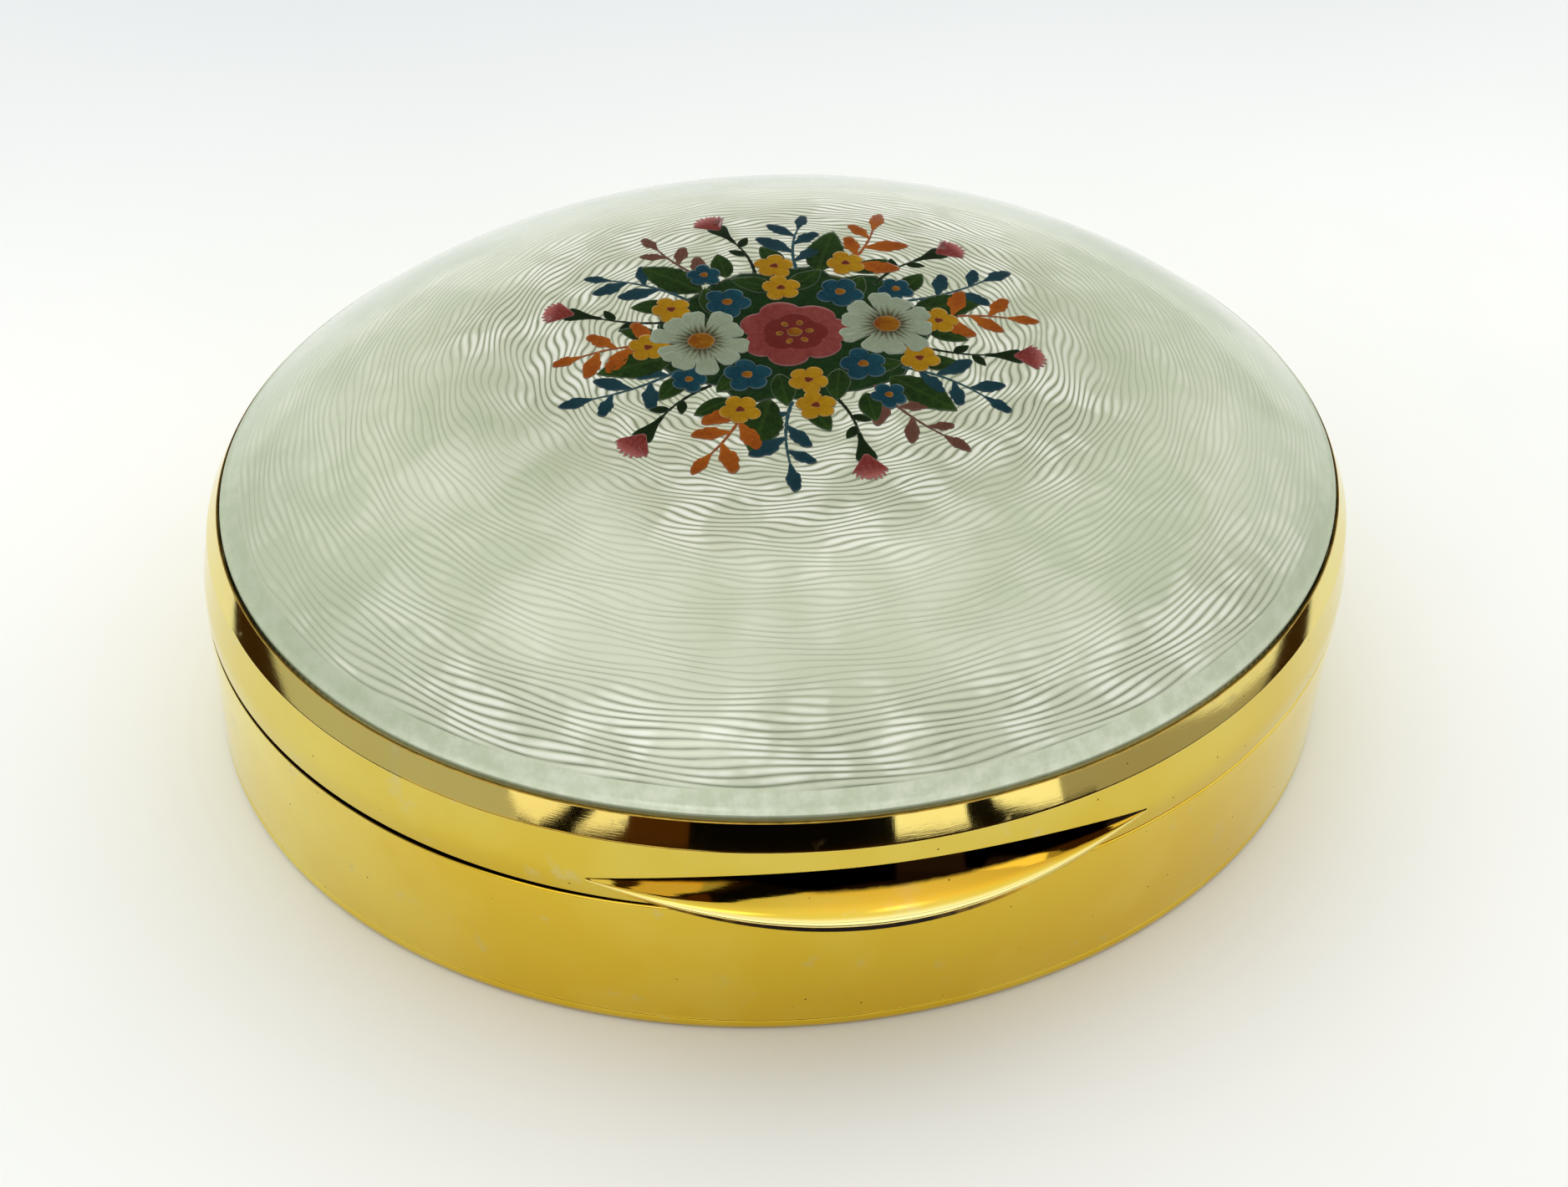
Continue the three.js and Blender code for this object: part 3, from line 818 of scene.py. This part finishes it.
class Brush:
    """Brush strokes of one colour, each a closed low relief on the enamel. edge runs from 0 in the middle of
    a stroke to 1 at its outline, side from -1 to 1 across it and along from 0 to 1 towards its tip."""

    def __init__(self, name, finish, relief):
        self.name = name
        self.finish = finish
        self.relief = relief
        self.blobs = 0
        self.points = []
        self.faces = []
        self.values = {"edge": [], "side": [], "along": []}

    def ring(self, spots, lift, edge, sides, alongs):
        first = len(self.points)
        self.points += [on_dome(x, y, lift) for x, y in spots]
        self.values["edge"] += [edge] * len(spots)
        self.values["side"] += list(sides)
        self.values["along"] += list(alongs)
        return list(range(first, len(self.points)))

    def blob(self, x, y, outline, angle=0.0, notches=None):
        """A filled outline of (forwards, sideways) points round its middle."""
        heading = radians(angle)
        turned = [
            (a * cos(heading) - b * sin(heading), a * sin(heading) + b * cos(heading)) for a, b in outline
        ]
        reach = max(abs(a) for a, _ in outline)
        breadth = max(abs(b) for _, b in outline)
        sides = [b / breadth for _, b in outline] if notches is None else notches
        self.blobs += 1
        relief = self.relief + OVERLAP_STEP * (self.blobs % 4)
        rings = []
        for share, height in ((0, 1), (0.3, 1), (0.6, 1), (0.85, 0.98), (0.96, 0.8), (1, -0.3)):
            spots = [(x + share * dx, y + share * dy) for dx, dy in turned]
            side = [share * s if notches is None else s for s in sides]
            along = [0.5 + 0.5 * share * a / reach for a, _ in outline]
            if share == 0:
                spots, side, along = spots[:1], [0.0], [0.5]
            rings.append(self.ring(spots, height * relief, share, side, along))
        rings.append(self.ring([(x, y)], -0.5 * relief, 1, [0.0], [0.5]))
        self.faces += band(rings, False)

    def stroke(self, path, start=0.16, end=0.08):
        """A tapering line through the path's points."""
        spots = smooth_path(path)
        rings = []
        for i, (x, y) in enumerate(spots):
            ahead = spots[min(i + 1, len(spots) - 1)]
            behind = spots[max(i - 1, 0)]
            length = hypot(ahead[0] - behind[0], ahead[1] - behind[1])
            across = (-(ahead[1] - behind[1]) / length, (ahead[0] - behind[0]) / length)
            share = i / (len(spots) - 1)
            width = (start + (end - start) * share) * (1 + 0.18 * sin(i * 1.9 + x))
            ring = []
            for side, lift in ((-0.5, -0.3), (-0.3, 0.9), (0.3, 0.9), (0.5, -0.3)):
                spot = (x + across[0] * width * side, y + across[1] * width * side)
                ring += self.ring([spot], lift * self.relief, abs(side) * 2, [side * 2], [share])
            rings.append(ring)
        self.faces += band(rings, False) + [tuple(rings[0]), tuple(reversed(rings[-1]))]

    def finish_piece(self):
        piece = build(self.name, self.points, self.faces, "lid", self.finish)
        for name, values in self.values.items():
            add_values(piece, name, values)
        return piece


def smooth_path(path, steps=6):
    """Points on a smooth curve through a path."""
    ends = [path[0], *path, path[-1]]
    spots = []
    for i in range(1, len(ends) - 2):
        before, start, end, after = (np.array(p) for p in ends[i - 1 : i + 3])
        for k in range(steps):
            t = k / steps
            spot = 2 * start + (end - before) * t
            spot = spot + (2 * before - 5 * start + 4 * end - after) * t**2
            spot = spot + (3 * start - before - 3 * end + after) * t**3
            spots.append(tuple(spot / 2))
    return spots + [path[-1]]


def leaf(length, width, jags=0, depth=0.0, seed=0.0):
    """A pointed leaf, with toothed edges where jags is more than 0."""
    outline = []
    half_count = 22
    for sign in (1, -1):
        for k in range(half_count):
            u = (k + (0 if sign == 1 else 1)) / half_count
            u = u if sign == 1 else 1 - u + 1 / half_count
            wide = sin(pi * u**0.85) ** 0.85 if 0 < u < 1 else 0
            tooth = (u * jags + seed) % 1 if jags else 0
            wobble = 1 + 0.05 * sin(7 * u + seed * 5 + sign)
            reach = wide * wobble * (1 - depth * tooth)
            outline.append((length * (u - 0.5), sign * (width / 2 * reach + 0.015)))
    return outline


def round_shape(length, width, lobes=0, depth=0.0, phase=0.0, ragged=0.0):
    """An oval with lobes. ragged roughens its outline."""
    outline = []
    for turn in turns(56):
        reach = 1 / hypot(cos(turn) / (length / 2), sin(turn) / (width / 2))
        reach *= 1 + depth * cos(lobes * turn + phase)
        reach *= 1 + ragged * (sin(11 * turn + phase) + 0.6 * sin(17 * turn + 2 * phase)) * 0.5
        outline.append((reach * cos(turn), reach * sin(turn)))
    return outline


def mirrored(halves):
    """A closed outline from (forwards, half width) pairs, from the near end to the tip, with a factor for the
    width on each side."""
    return [(a, left) for a, left, _ in halves] + [(a, -right) for a, _, right in reversed(halves)]


def bud(length, width, seed=0.0):
    """A bud or a sprig's leaf: a tail that swells into three uneven, pointed lobes."""
    outline = []
    steps = 40
    for k in range(steps + 1):
        turn = -2.75 + 5.5 * k / steps
        lobes = 0.88 + (0.19 + 0.06 * sin(seed)) * abs(cos(1.5 * turn + 0.25 * sin(seed))) ** 0.7
        lobes *= 1 + 0.05 * sin(7 * turn + 2 * seed)
        reach = lobes / hypot(cos(turn) / (0.42 * length), sin(turn) / (0.5 * width))
        reach *= 1 + 0.25 * max(cos(turn), 0) ** 8 + 0.30 * max(-cos(turn), 0) ** 2
        outline.append((0.06 * length + reach * cos(turn), reach * sin(turn)))
    return [*outline, (-0.85 * length, 0.06), (-0.85 * length, -0.06)]


def calyx(length, width):
    """The green cup under a carnation, narrow where the stem comes in and toothed at the flower."""
    halves = [(-0.6, 0.10), (-0.3, 0.14), (0.0, 0.30), (0.25, 0.46), (0.42, 0.50), (0.52, 0.38), (0.44, 0.14)]
    return mirrored([(along * length, half * width, half * width) for along, half in halves])


def petal(length, width, seed=0.0):
    """A daisy's petal: narrow at the eye and broad at a notched tip."""
    halves = []
    steps = 26
    for k in range(steps + 1):
        u = k / steps
        half = width / 2 * (0.30 + 0.70 * u**0.8) * (1 - max(u - 0.78, 0) ** 1.4 / 0.22**1.4) ** 0.5
        notch = 0.05 * length * max(1 - half / (0.22 * width), 0) if u > 0.8 else 0
        left = half * (1 + 0.05 * sin(7 * u + seed))
        right = half * (1 + 0.05 * sin(6 * u + 2 * seed))
        halves.append((length * (u - 0.5) - notch, left, right))
    return mirrored(halves)


def fan(length, width, seed=0.0):
    """A carnation seen from the side: narrow at the calyx, with a fringe on its outer edge."""
    outline = []
    spread = atan2(width / 2, length) * 1.15
    steps = 44
    for k in range(steps + 1):
        share = -1 + 2 * k / steps
        fringe = 0.13 * abs(sin(pi * 4.5 * share + seed)) + 0.05 * sin(23 * share + seed)
        reach = length * (1.02 + fringe - 0.16 * share**2)
        outline.append((reach * cos(spread * share) - length / 2, reach * sin(spread * share)))
    return [*outline, (-0.5 * length, 0.10), (-0.5 * length, -0.10)]


def blossom(brush, x, y, radius, angle, petals=5, depth=0.3, flat=1.0):
    """A flat flower whose petals part at the notches of its outline. flat squeezes it from front to back."""
    outline, parting = [], []
    for turn in turns(90):
        wave = abs(cos(petals / 2 * turn))
        wobble = 1 + 0.05 * sin(3 * turn + x * 2)
        reach = radius * (1 - depth + depth * wave**0.6) * wobble
        heading = turn + radians(angle)
        outline.append((reach * cos(heading), reach * sin(heading) * flat))
        parting.append(1 - wave)
    brush.blob(x, y, outline, 0, parting)


# A plain formal bouquet: a rose between two daisies, a wreath of small blossoms, then leaves and sprays at
# even angles. Only the palette, the kinds of flower and the rough size and place come from the photo.
BOUQUET_MIDDLE = (0.3, 0.6)
DAISY_DISTANCE = 4.7
DAISY_RADIUS = 2.5
DAISY_PETALS = 10
ROSE_RADIUS = 2.95
BLOSSOMS = 12
BLOSSOM_REACH = 7.0
YELLOW_RADIUS = 1.05
INNER_LEAF_REACH = 5.2
OUTER_LEAF_REACH = 7.7
SPRAYS = 18
SPRAY_START = 6.2
SPRAY_CYCLE = ("orange", "navy", "carnation", "orange", "navy", "carnation", "maroon", "navy", "carnation")


def ahead(x, y, angle, reach):
    """The spot at a distance from another, in a direction in degrees."""
    return x + reach * cos(radians(angle)), y + reach * sin(radians(angle))


def round_bouquet(angle, reach):
    """A spot at an angle round the bouquet, which is as oval as the dome, and the way out from there."""
    across = reach * cos(radians(angle))
    back = reach * sin(radians(angle)) * DOME_RATIO
    return BOUQUET_MIDDLE[0] + across, BOUQUET_MIDDLE[1] + back, degrees(atan2(back, across))


def stem(brush, x, y, heading, bend, length, joints, width):
    """A stem that bends evenly. Gives the spot and the heading at each of its joints."""
    spots = [(x, y)]
    headings = []
    for k in range(joints):
        headings.append(heading + bend * (k + 0.5) / joints)
        spots.append(ahead(*spots[-1], headings[-1], length / joints))
    brush.stroke(spots, width, width * 0.55)
    return list(zip(spots[1:], headings))


def spray(brush, stalks, x, y, heading, bend, length, size, seed):
    """A stem with buds on alternate sides, smaller towards the last one at its tip."""
    joints = stem(stalks, x, y, heading, bend, length, 5, 0.24)
    for k, (spot, turn) in enumerate(joints):
        at_tip = k == len(joints) - 1
        angle = turn if at_tip else turn + (52 if k % 2 else -52) + 8 * sin(seed + k)
        long = size * (1.12 - 0.08 * k) * (1 + 0.12 * sin(2 * seed + 3 * k))
        brush.blob(*ahead(*spot, angle, 0.8 * long), bud(long, long * 0.6, seed + 1.7 * k), angle)


def carnation(flower, green, x, y, heading, bend, length, seed):
    """A carnation on its stem, with two small leaves."""
    joints = stem(green, x, y, heading, bend, length, 4, 0.24)
    for side, (spot, turn) in zip((1, -1), joints[1:]):
        angle = turn + side * 48
        green.blob(*ahead(*spot, angle, 0.5), leaf(1.05, 0.5, 0, 0, seed), angle)
    spot, turn = joints[-1]
    green.blob(*ahead(*spot, turn, 0.7), calyx(1.75, 1.1), turn)
    flower.blob(*ahead(*spot, turn, 1.85), fan(1.45, 2.15 + 0.2 * sin(seed), seed), turn)


def daisy(petals, shading, eyes, x, y, start):
    """A ring of petals round an eye, with thin dark lines running out of it."""
    for k in range(DAISY_PETALS):
        angle = start + 360 * k / DAISY_PETALS + 3 * sin(2.3 * k)
        length = DAISY_RADIUS * (1 + 0.07 * sin(4.1 * k)) - 0.35
        petals.blob(*ahead(x, y, angle, 0.35 + length / 2), petal(length, 1.4, 1.3 * k), angle)
    for k in range(3 * DAISY_PETALS):
        angle = start + 120 * k / DAISY_PETALS + 4 * sin(3.7 * k)
        far = 1.05 + 0.7 * abs(sin(2.3 * k))
        shading.stroke([ahead(x, y, angle, away) for away in (0.5, (far + 0.5) / 2, far)], 0.14, 0.02)
    eyes.blob(x, y, round_shape(1.4, 1.3, 6, 0.02))


def rose(petals, heart, eyes, x, y):
    """Two rings of petals, one turned against the other, round a ring of stamens."""
    blossom(petals, x, y, ROSE_RADIUS, 100, 7, 0.20, 0.86)
    blossom(heart, x, y, ROSE_RADIUS * 0.62, 75, 5, 0.16, 0.86)
    for angle in range(0, 360, 60):
        eyes.blob(*ahead(x, y, angle, 0.75), round_shape(0.44, 0.34, 2, 0.05, angle), angle)
    eyes.blob(x, y, round_shape(0.8, 0.7, 5, 0.05))


def colour_brush(piece, colour, relief, deep, middle, light, **marks):
    """A brush for one piece of the bouquet, with its paint."""
    finish = paint(colour + "_paint", linear(*deep), linear(*middle), linear(*light), **marks)
    return Brush("bouquet_" + piece, finish, relief)


def bouquet():
    green = colour_brush("leaves", "leaf", 0.030, (10, 28, 2), (26, 50, 8), (54, 76, 26), veins=0.28)
    ground = colour_brush("ground", "ground", 0.012, (6, 28, 3), (14, 40, 8), (44, 72, 30))
    stems = colour_brush("stems", "stem", 0.020, (6, 20, 2), (16, 32, 6), (34, 54, 18))
    navy = colour_brush("navy_sprigs", "navy", 0.028, (22, 52, 58), (6, 36, 44), (40, 72, 78))
    teal = colour_brush("navy_stems", "teal", 0.024, (26, 58, 60), (34, 66, 70), (60, 90, 92))
    maroon = colour_brush("maroon_sprigs", "maroon", 0.026, (84, 52, 40), (80, 50, 38), (132, 104, 90))
    orange = colour_brush("orange_buds", "orange", 0.032, (140, 74, 12), (110, 44, 4), (176, 108, 30))
    pink = colour_brush("carnations", "carnation", 0.040, (92, 28, 22), (118, 52, 46), (164, 98, 92),
                        folds=0.55)
    yellow = colour_brush("yellow_blossoms", "yellow", 0.045, (132, 92, 2), (148, 110, 4), (176, 140, 40),
                          partings=0.6)
    blue = colour_brush("blue_blossoms", "blue", 0.050, (4, 40, 52), (12, 54, 64), (38, 82, 90), partings=0.6)
    rosy = colour_brush("rose", "rose", 0.055, (98, 36, 32), (112, 50, 44), (140, 78, 72), partings=0.45)
    heart = colour_brush("rose_heart", "rose_heart", 0.062, (84, 24, 18), (92, 30, 24), (106, 44, 36),
                         partings=0.45)
    white = colour_brush("daisies", "daisy", 0.070, (116, 124, 100), (120, 132, 110), (160, 168, 152),
                         root=linear(54, 48, 22))
    shade = colour_brush("daisy_shading", "shading", 0.076, (20, 16, 3), (38, 32, 10), (60, 54, 26))
    eyes = colour_brush("eyes", "eye", 0.095, (96, 44, 2), (126, 84, 2), (152, 108, 24))
    hearts = colour_brush("blossom_hearts", "blossom_heart", 0.062, (78, 24, 4), (96, 38, 8), (120, 62, 12))

    ground.blob(*BOUQUET_MIDDLE, round_shape(13.8, 10.4, 9, 0.05, 0.7, 0.05))
    for k in range(BLOSSOMS):
        x, y, out = round_bouquet(360 * (k + 0.5) / BLOSSOMS, INNER_LEAF_REACH)
        green.blob(x, y, leaf(2.5, 1.25, 0, 0, 0.4 * k), out + 45 * sin(2.7 * k))
    for angle in (50, 130, 230, 310):
        spot = round_bouquet(angle, 4.5)
        blossom(blue, *spot[:2], 1.25, angle, 5, 0.34)
        eyes.blob(*spot[:2], round_shape(0.56, 0.50, 3, 0.06, angle))
    for angle in (90, 270):
        spot = round_bouquet(angle, 4.4)
        blossom(yellow, *spot[:2], YELLOW_RADIUS, angle)
        hearts.blob(*spot[:2], round_shape(0.44, 0.38, 3, 0.15, angle))
    for k in range(BLOSSOMS):
        spot = round_bouquet(360 * k / BLOSSOMS, BLOSSOM_REACH + 0.35 * cos(pi * k))
        if k % 3 == 1:
            blossom(blue, *spot[:2], 0.95, 40 * k, 5, 0.34)
            eyes.blob(*spot[:2], round_shape(0.44, 0.40, 3, 0.06, k))
        else:
            blossom(yellow, *spot[:2], YELLOW_RADIUS, 50 * k)
            hearts.blob(*spot[:2], round_shape(0.44, 0.38, 3, 0.15, k))

    colours = {"orange": (orange, orange, 1.5), "navy": (navy, teal, 1.4), "maroon": (maroon, maroon, 1.2)}
    for k in range(SPRAYS):
        x, y, out = round_bouquet(360 * k / SPRAYS, SPRAY_START)
        bend = 28 if k % 2 else -28
        length = 3.9 + 0.9 * abs(cos(radians(out))) + 0.3 * sin(2.6 * k)
        kind = SPRAY_CYCLE[k % len(SPRAY_CYCLE)]
        if kind == "carnation":
            carnation(pink, stems, x, y, out - bend / 2, bend, length * 0.78, 1.3 * k)
        else:
            brush, stalks, size = colours[kind]
            spray(brush, stalks, x, y, out - bend / 2, bend, length, size, 1.3 * k)
        x, y, out = round_bouquet(360 * (k + 0.5) / SPRAYS, OUTER_LEAF_REACH)
        if k % 3:
            green.blob(x, y, leaf(2.2, 1.15, 0, 0, 0.61 * k), out + 24 * sin(2.1 * k))
        else:
            green.blob(*ahead(x, y, out, 0.6), leaf(4.0, 2.1, 8, 0.14, 0.37 * k), out)

    middle_x, middle_y = BOUQUET_MIDDLE
    rose(rosy, heart, eyes, middle_x, middle_y)
    for side in (-1, 1):
        daisy(white, shade, eyes, middle_x + side * DAISY_DISTANCE, middle_y, 18 * side)
    for strokes in (green, ground, stems, navy, teal, maroon, orange, pink, yellow, blue, rosy, heart, white,
                    shade, eyes, hearts):
        strokes.finish_piece()


bouquet()


# ---------------------------------------------------------------- surroundings and camera


def table():
    floor = loose_mesh(
        "floor", [(-900, -900, 0), (900, -900, 0), (900, 900, 0), (-900, 900, 0)], [(0, 1, 2, 3)]
    )
    surface = Finish("floor", Roughness=0.8, Specular_IOR_Level=0.0)
    mottle = surface.noise(0.02, 4.0)
    dust = surface.specks(0.09, 0.03)
    tone = surface.mix(mottle.between(0.3, 0.7), linear(238, 240, 236), linear(243, 244, 241))
    across, rearward, _ = surface.axes(surface.place)
    # painted shadow: a soft grey patch on the floor behind the box
    behind = rearward.between(20, 90)
    beside = (across - 15).math("ABSOLUTE").between(30, 120, 1, 0)
    tone = surface.mix(behind * beside * 0.9, tone, linear(212, 217, 220))
    surface.colour(surface.mix(dust * 0.4, tone, linear(170, 165, 150)))
    floor.data.materials.append(surface.material)


def studio_light():
    """A pale sky, brighter above. Its dark patch shows only in reflections, and diffuse light comes more from
    behind the box."""
    world = bpy.data.worlds.new("studio")
    bpy.context.scene.world = world
    world.use_nodes = True
    sky = Nodes(world.node_tree)
    direction = sky.add("TexCoord").outputs["Generated"]
    _, rearward, height = sky.axes(direction)
    light = height.between(-0.05, 0.75, 0.75, 1.2)
    patch = Vector((0.13, 0.72, 0.68)).normalized()
    towards = sky.add("VectorMath", {0: direction, 1: patch}, operation="DOT_PRODUCT").outputs["Value"]
    shade = Number(sky.tree, towards).between(0.78, 0.95, 0, 1)
    rays = sky.add("LightPath").outputs
    glossy, diffuse, seen = [
        Number(sky.tree, rays[name]) for name in ("Is Glossy Ray", "Is Diffuse Ray", "Is Camera Ray")
    ]
    light = light + shade * glossy * (light * -1 + 0.10)
    light = light * (rearward * diffuse * 0.9 + 1.0)
    level = light + seen * (light * -1 + 0.86)
    colour = sky.add("CombineColor", {"Red": level, "Green": level, "Blue": level})
    background = sky.tree.nodes["Background"]
    sky.feed(background.inputs["Color"], colour.outputs["Color"])
    sky.feed(background.inputs["Strength"], 1.0)


def reflected_card(name, points, faces, glow_colour, soft=False):
    """A card that only reflections see. A soft one fades out towards its edge."""
    card = loose_mesh(name, points, faces)
    material = bpy.data.materials.new(name)
    material.use_nodes = True
    nodes = Nodes(material.node_tree)
    nodes.tree.nodes.clear()
    light = nodes.add("Emission", {"Color": [*glow_colour, 1]}).outputs["Emission"]
    if soft:
        add_values(card, "away", [0.0] + [1.0] * (len(points) - 1))
        clear = nodes.add("BsdfTransparent").outputs["BSDF"]
        faint = nodes.attribute("away").between(0, 1)
        light = nodes.add("MixShader", {"Fac": faint, 1: light, 2: clear}).outputs["Shader"]
    nodes.add("OutputMaterial", {"Surface": light})
    card.data.materials.append(material)
    for part in ("camera", "diffuse", "transmission", "volume_scatter", "shadow"):
        setattr(card, "visible_" + part, False)


def upright_card(name, radius, edge, glow_colour, steps=48):
    """A curved upright card round the box. edge is (degrees from the front to the right, low, high) rows."""
    points = []
    turns_round = [row[0] for row in edge]
    for k in range(steps + 1):
        turn = edge[0][0] + (edge[-1][0] - edge[0][0]) * k / steps
        for column in (1, 2):
            z = np.interp(turn, turns_round, [row[column] for row in edge])
            points.append((radius * sin(radians(turn)), -radius * cos(radians(turn)), z))
    faces = [(2 * k, 2 * k + 2, 2 * k + 3, 2 * k + 1) for k in range(steps)]
    reflected_card(name, points, faces, glow_colour)


def soft_box(name, azimuth, elevation, width, height, glow, distance=300):
    """A soft light that shows as a highlight on the enamel. Its azimuth is from the front, to the right."""
    turn, rise = radians(azimuth), radians(elevation)
    outwards = Vector((sin(turn) * cos(rise), -cos(turn) * cos(rise), sin(rise)))
    right = Vector((cos(turn), sin(turn), 0))
    up = right.cross(outwards) * -1
    middle = Vector((0, 0, DOME_EDGE_HEIGHT)) + outwards * distance
    corners = 24
    points = [middle]
    for k in range(corners):
        angle = TURN * k / corners
        points.append(middle + right * (width / 2 * cos(angle)) + up * (height / 2 * sin(angle)))
    faces = [(0, k + 1, (k + 1) % corners + 1) for k in range(corners)]
    reflected_card(name, points, faces, [glow] * 3, True)


def room():
    """What the gilt bezel and scoop mirror: the table's edge, a dim room and bright windows."""
    upright_card("table_edge", 63, [(-128, 0, 3), (-60, 0, 6), (-40, 0, 4), (-22, 0, 4), (-16, 0, 10.8),
                                    (0, 0, 11), (20, 0, 10.4), (34, 0, 8.9), (50, 0, 6), (62, 0, 3.5),
                                    (118, 0, 2)], [0.04, 0.018, 0.004], 96)
    upright_card("dim_left", 63.8, [(-128, 0, 6.5), (-86, 0, 7.5), (-57, 0, 13.5), (-44, 0, 15.5),
                                    (-40, 0, 15.5)], [0.56, 0.56, 0.50])
    upright_card("dim_front", 64, [(-46, 0, 15.5), (0, 0, 15.5), (35, 0, 12.5), (49, 0, 8.9), (60, 0, 5.6),
                                   (75, 0, 2)], [0.42, 0.40, 0.36])
    upright_card("amber_left", 62.2, [(-60, 4, 9), (-44, 4, 10.2), (-30, 4, 10.5), (-20, 4, 10.7),
                                      (-15, 4, 5)], [0.78, 0.60, 0.30], 96)
    upright_card("bright_left", 62.5, [(-44, 12.6, 15.5), (-42, 11.6, 15.5), (-38, 11.4, 15.5),
                                       (-32, 12.3, 15.5), (-28, 12.9, 14.4), (-26, 13.5, 13.7)],
                 [1.25, 1.2, 1.1], 96)
    upright_card("bright_right", 62.5, [(5.8, 13.2, 15.5), (7, 12.4, 15.5), (8.4, 12.2, 15.5),
                                        (19, 11.4, 15.5), (24, 10.9, 15.5), (31, 9.9, 14)],
                 [1.3, 1.28, 1.2], 96)
    upright_card("dark_front", 62, [(-19, 11, 17.5), (8, 11, 17.5)], [0.0015, 0.0012, 0.001])
    upright_card("brown_left", 62, [(-33, 11, 11.9), (-30, 11, 12.2), (-27.5, 11, 12.9), (-25.5, 11, 17),
                                    (-18, 11, 17.5)], [0.07, 0.024, 0.004], 96)
    upright_card("stroke_left", 61.8, [(-39, 10.8, 11.7), (-37, 10.8, 12.4), (-35.2, 11.4, 13.3),
                                       (-34.2, 12.0, 15), (-32.8, 12.8, 15), (-31.6, 13.5, 15)],
                 [0.002, 0.001, 0], 96)
    upright_card("stroke_right", 61.8, [(17.6, 12.0, 12.6), (18.1, 11.3, 14.5), (20.6, 11.0, 14.5),
                                        (21.4, 10.8, 12.2), (23, 10.5, 11.5), (25.5, 10.1, 10.9),
                                        (29, 9.6, 10.1)], [0.002, 0.001, 0], 96)
    upright_card("foot_line", 61.9, [(-42, 10.6, 11.4), (-18, 11.0, 12.4), (8, 11.0, 12.1), (22, 10.0, 10.9),
                                     (36, 8.6, 9.3)], [0.012, 0.006, 0.001])
    soft_box("light_front", -22, 46, 110, 130, 3.2)
    soft_box("light_left", -74, 55, 100, 90, 2.6)
    soft_box("light_right", 17, 44, 70, 120, 2.1)


def camera():
    """The photograph's viewpoint: its distance and direction from the middle of the base, and its aim."""
    lens = bpy.data.cameras.new("camera")
    lens.lens = 63.33
    lens.sensor_width = 36
    eye = bpy.data.objects.new("camera", lens)
    bpy.context.scene.collection.objects.link(eye)
    azimuth, elevation = radians(-12.55), radians(46.11)
    distance = 0.15246  # in metres
    back = Vector((sin(azimuth) * cos(elevation), -cos(azimuth) * cos(elevation), sin(elevation)))
    eye.rotation_mode = "QUATERNION"
    eye.location = back * distance
    level = (-back).to_track_quat("-Z", "Y")
    roll = Quaternion((0, 0, 1), radians(2.69))
    pan = Quaternion((0, 1, 0), radians(-0.1675))
    tilt = Quaternion((1, 0, 0), radians(1.348))
    eye.rotation_quaternion = level @ roll @ pan @ tilt
    lens.clip_start = 0.005
    lens.clip_end = 10
    bpy.context.scene.camera = eye


table()
studio_light()
room()
camera()
bpy.context.scene.view_settings.view_transform = "Standard"
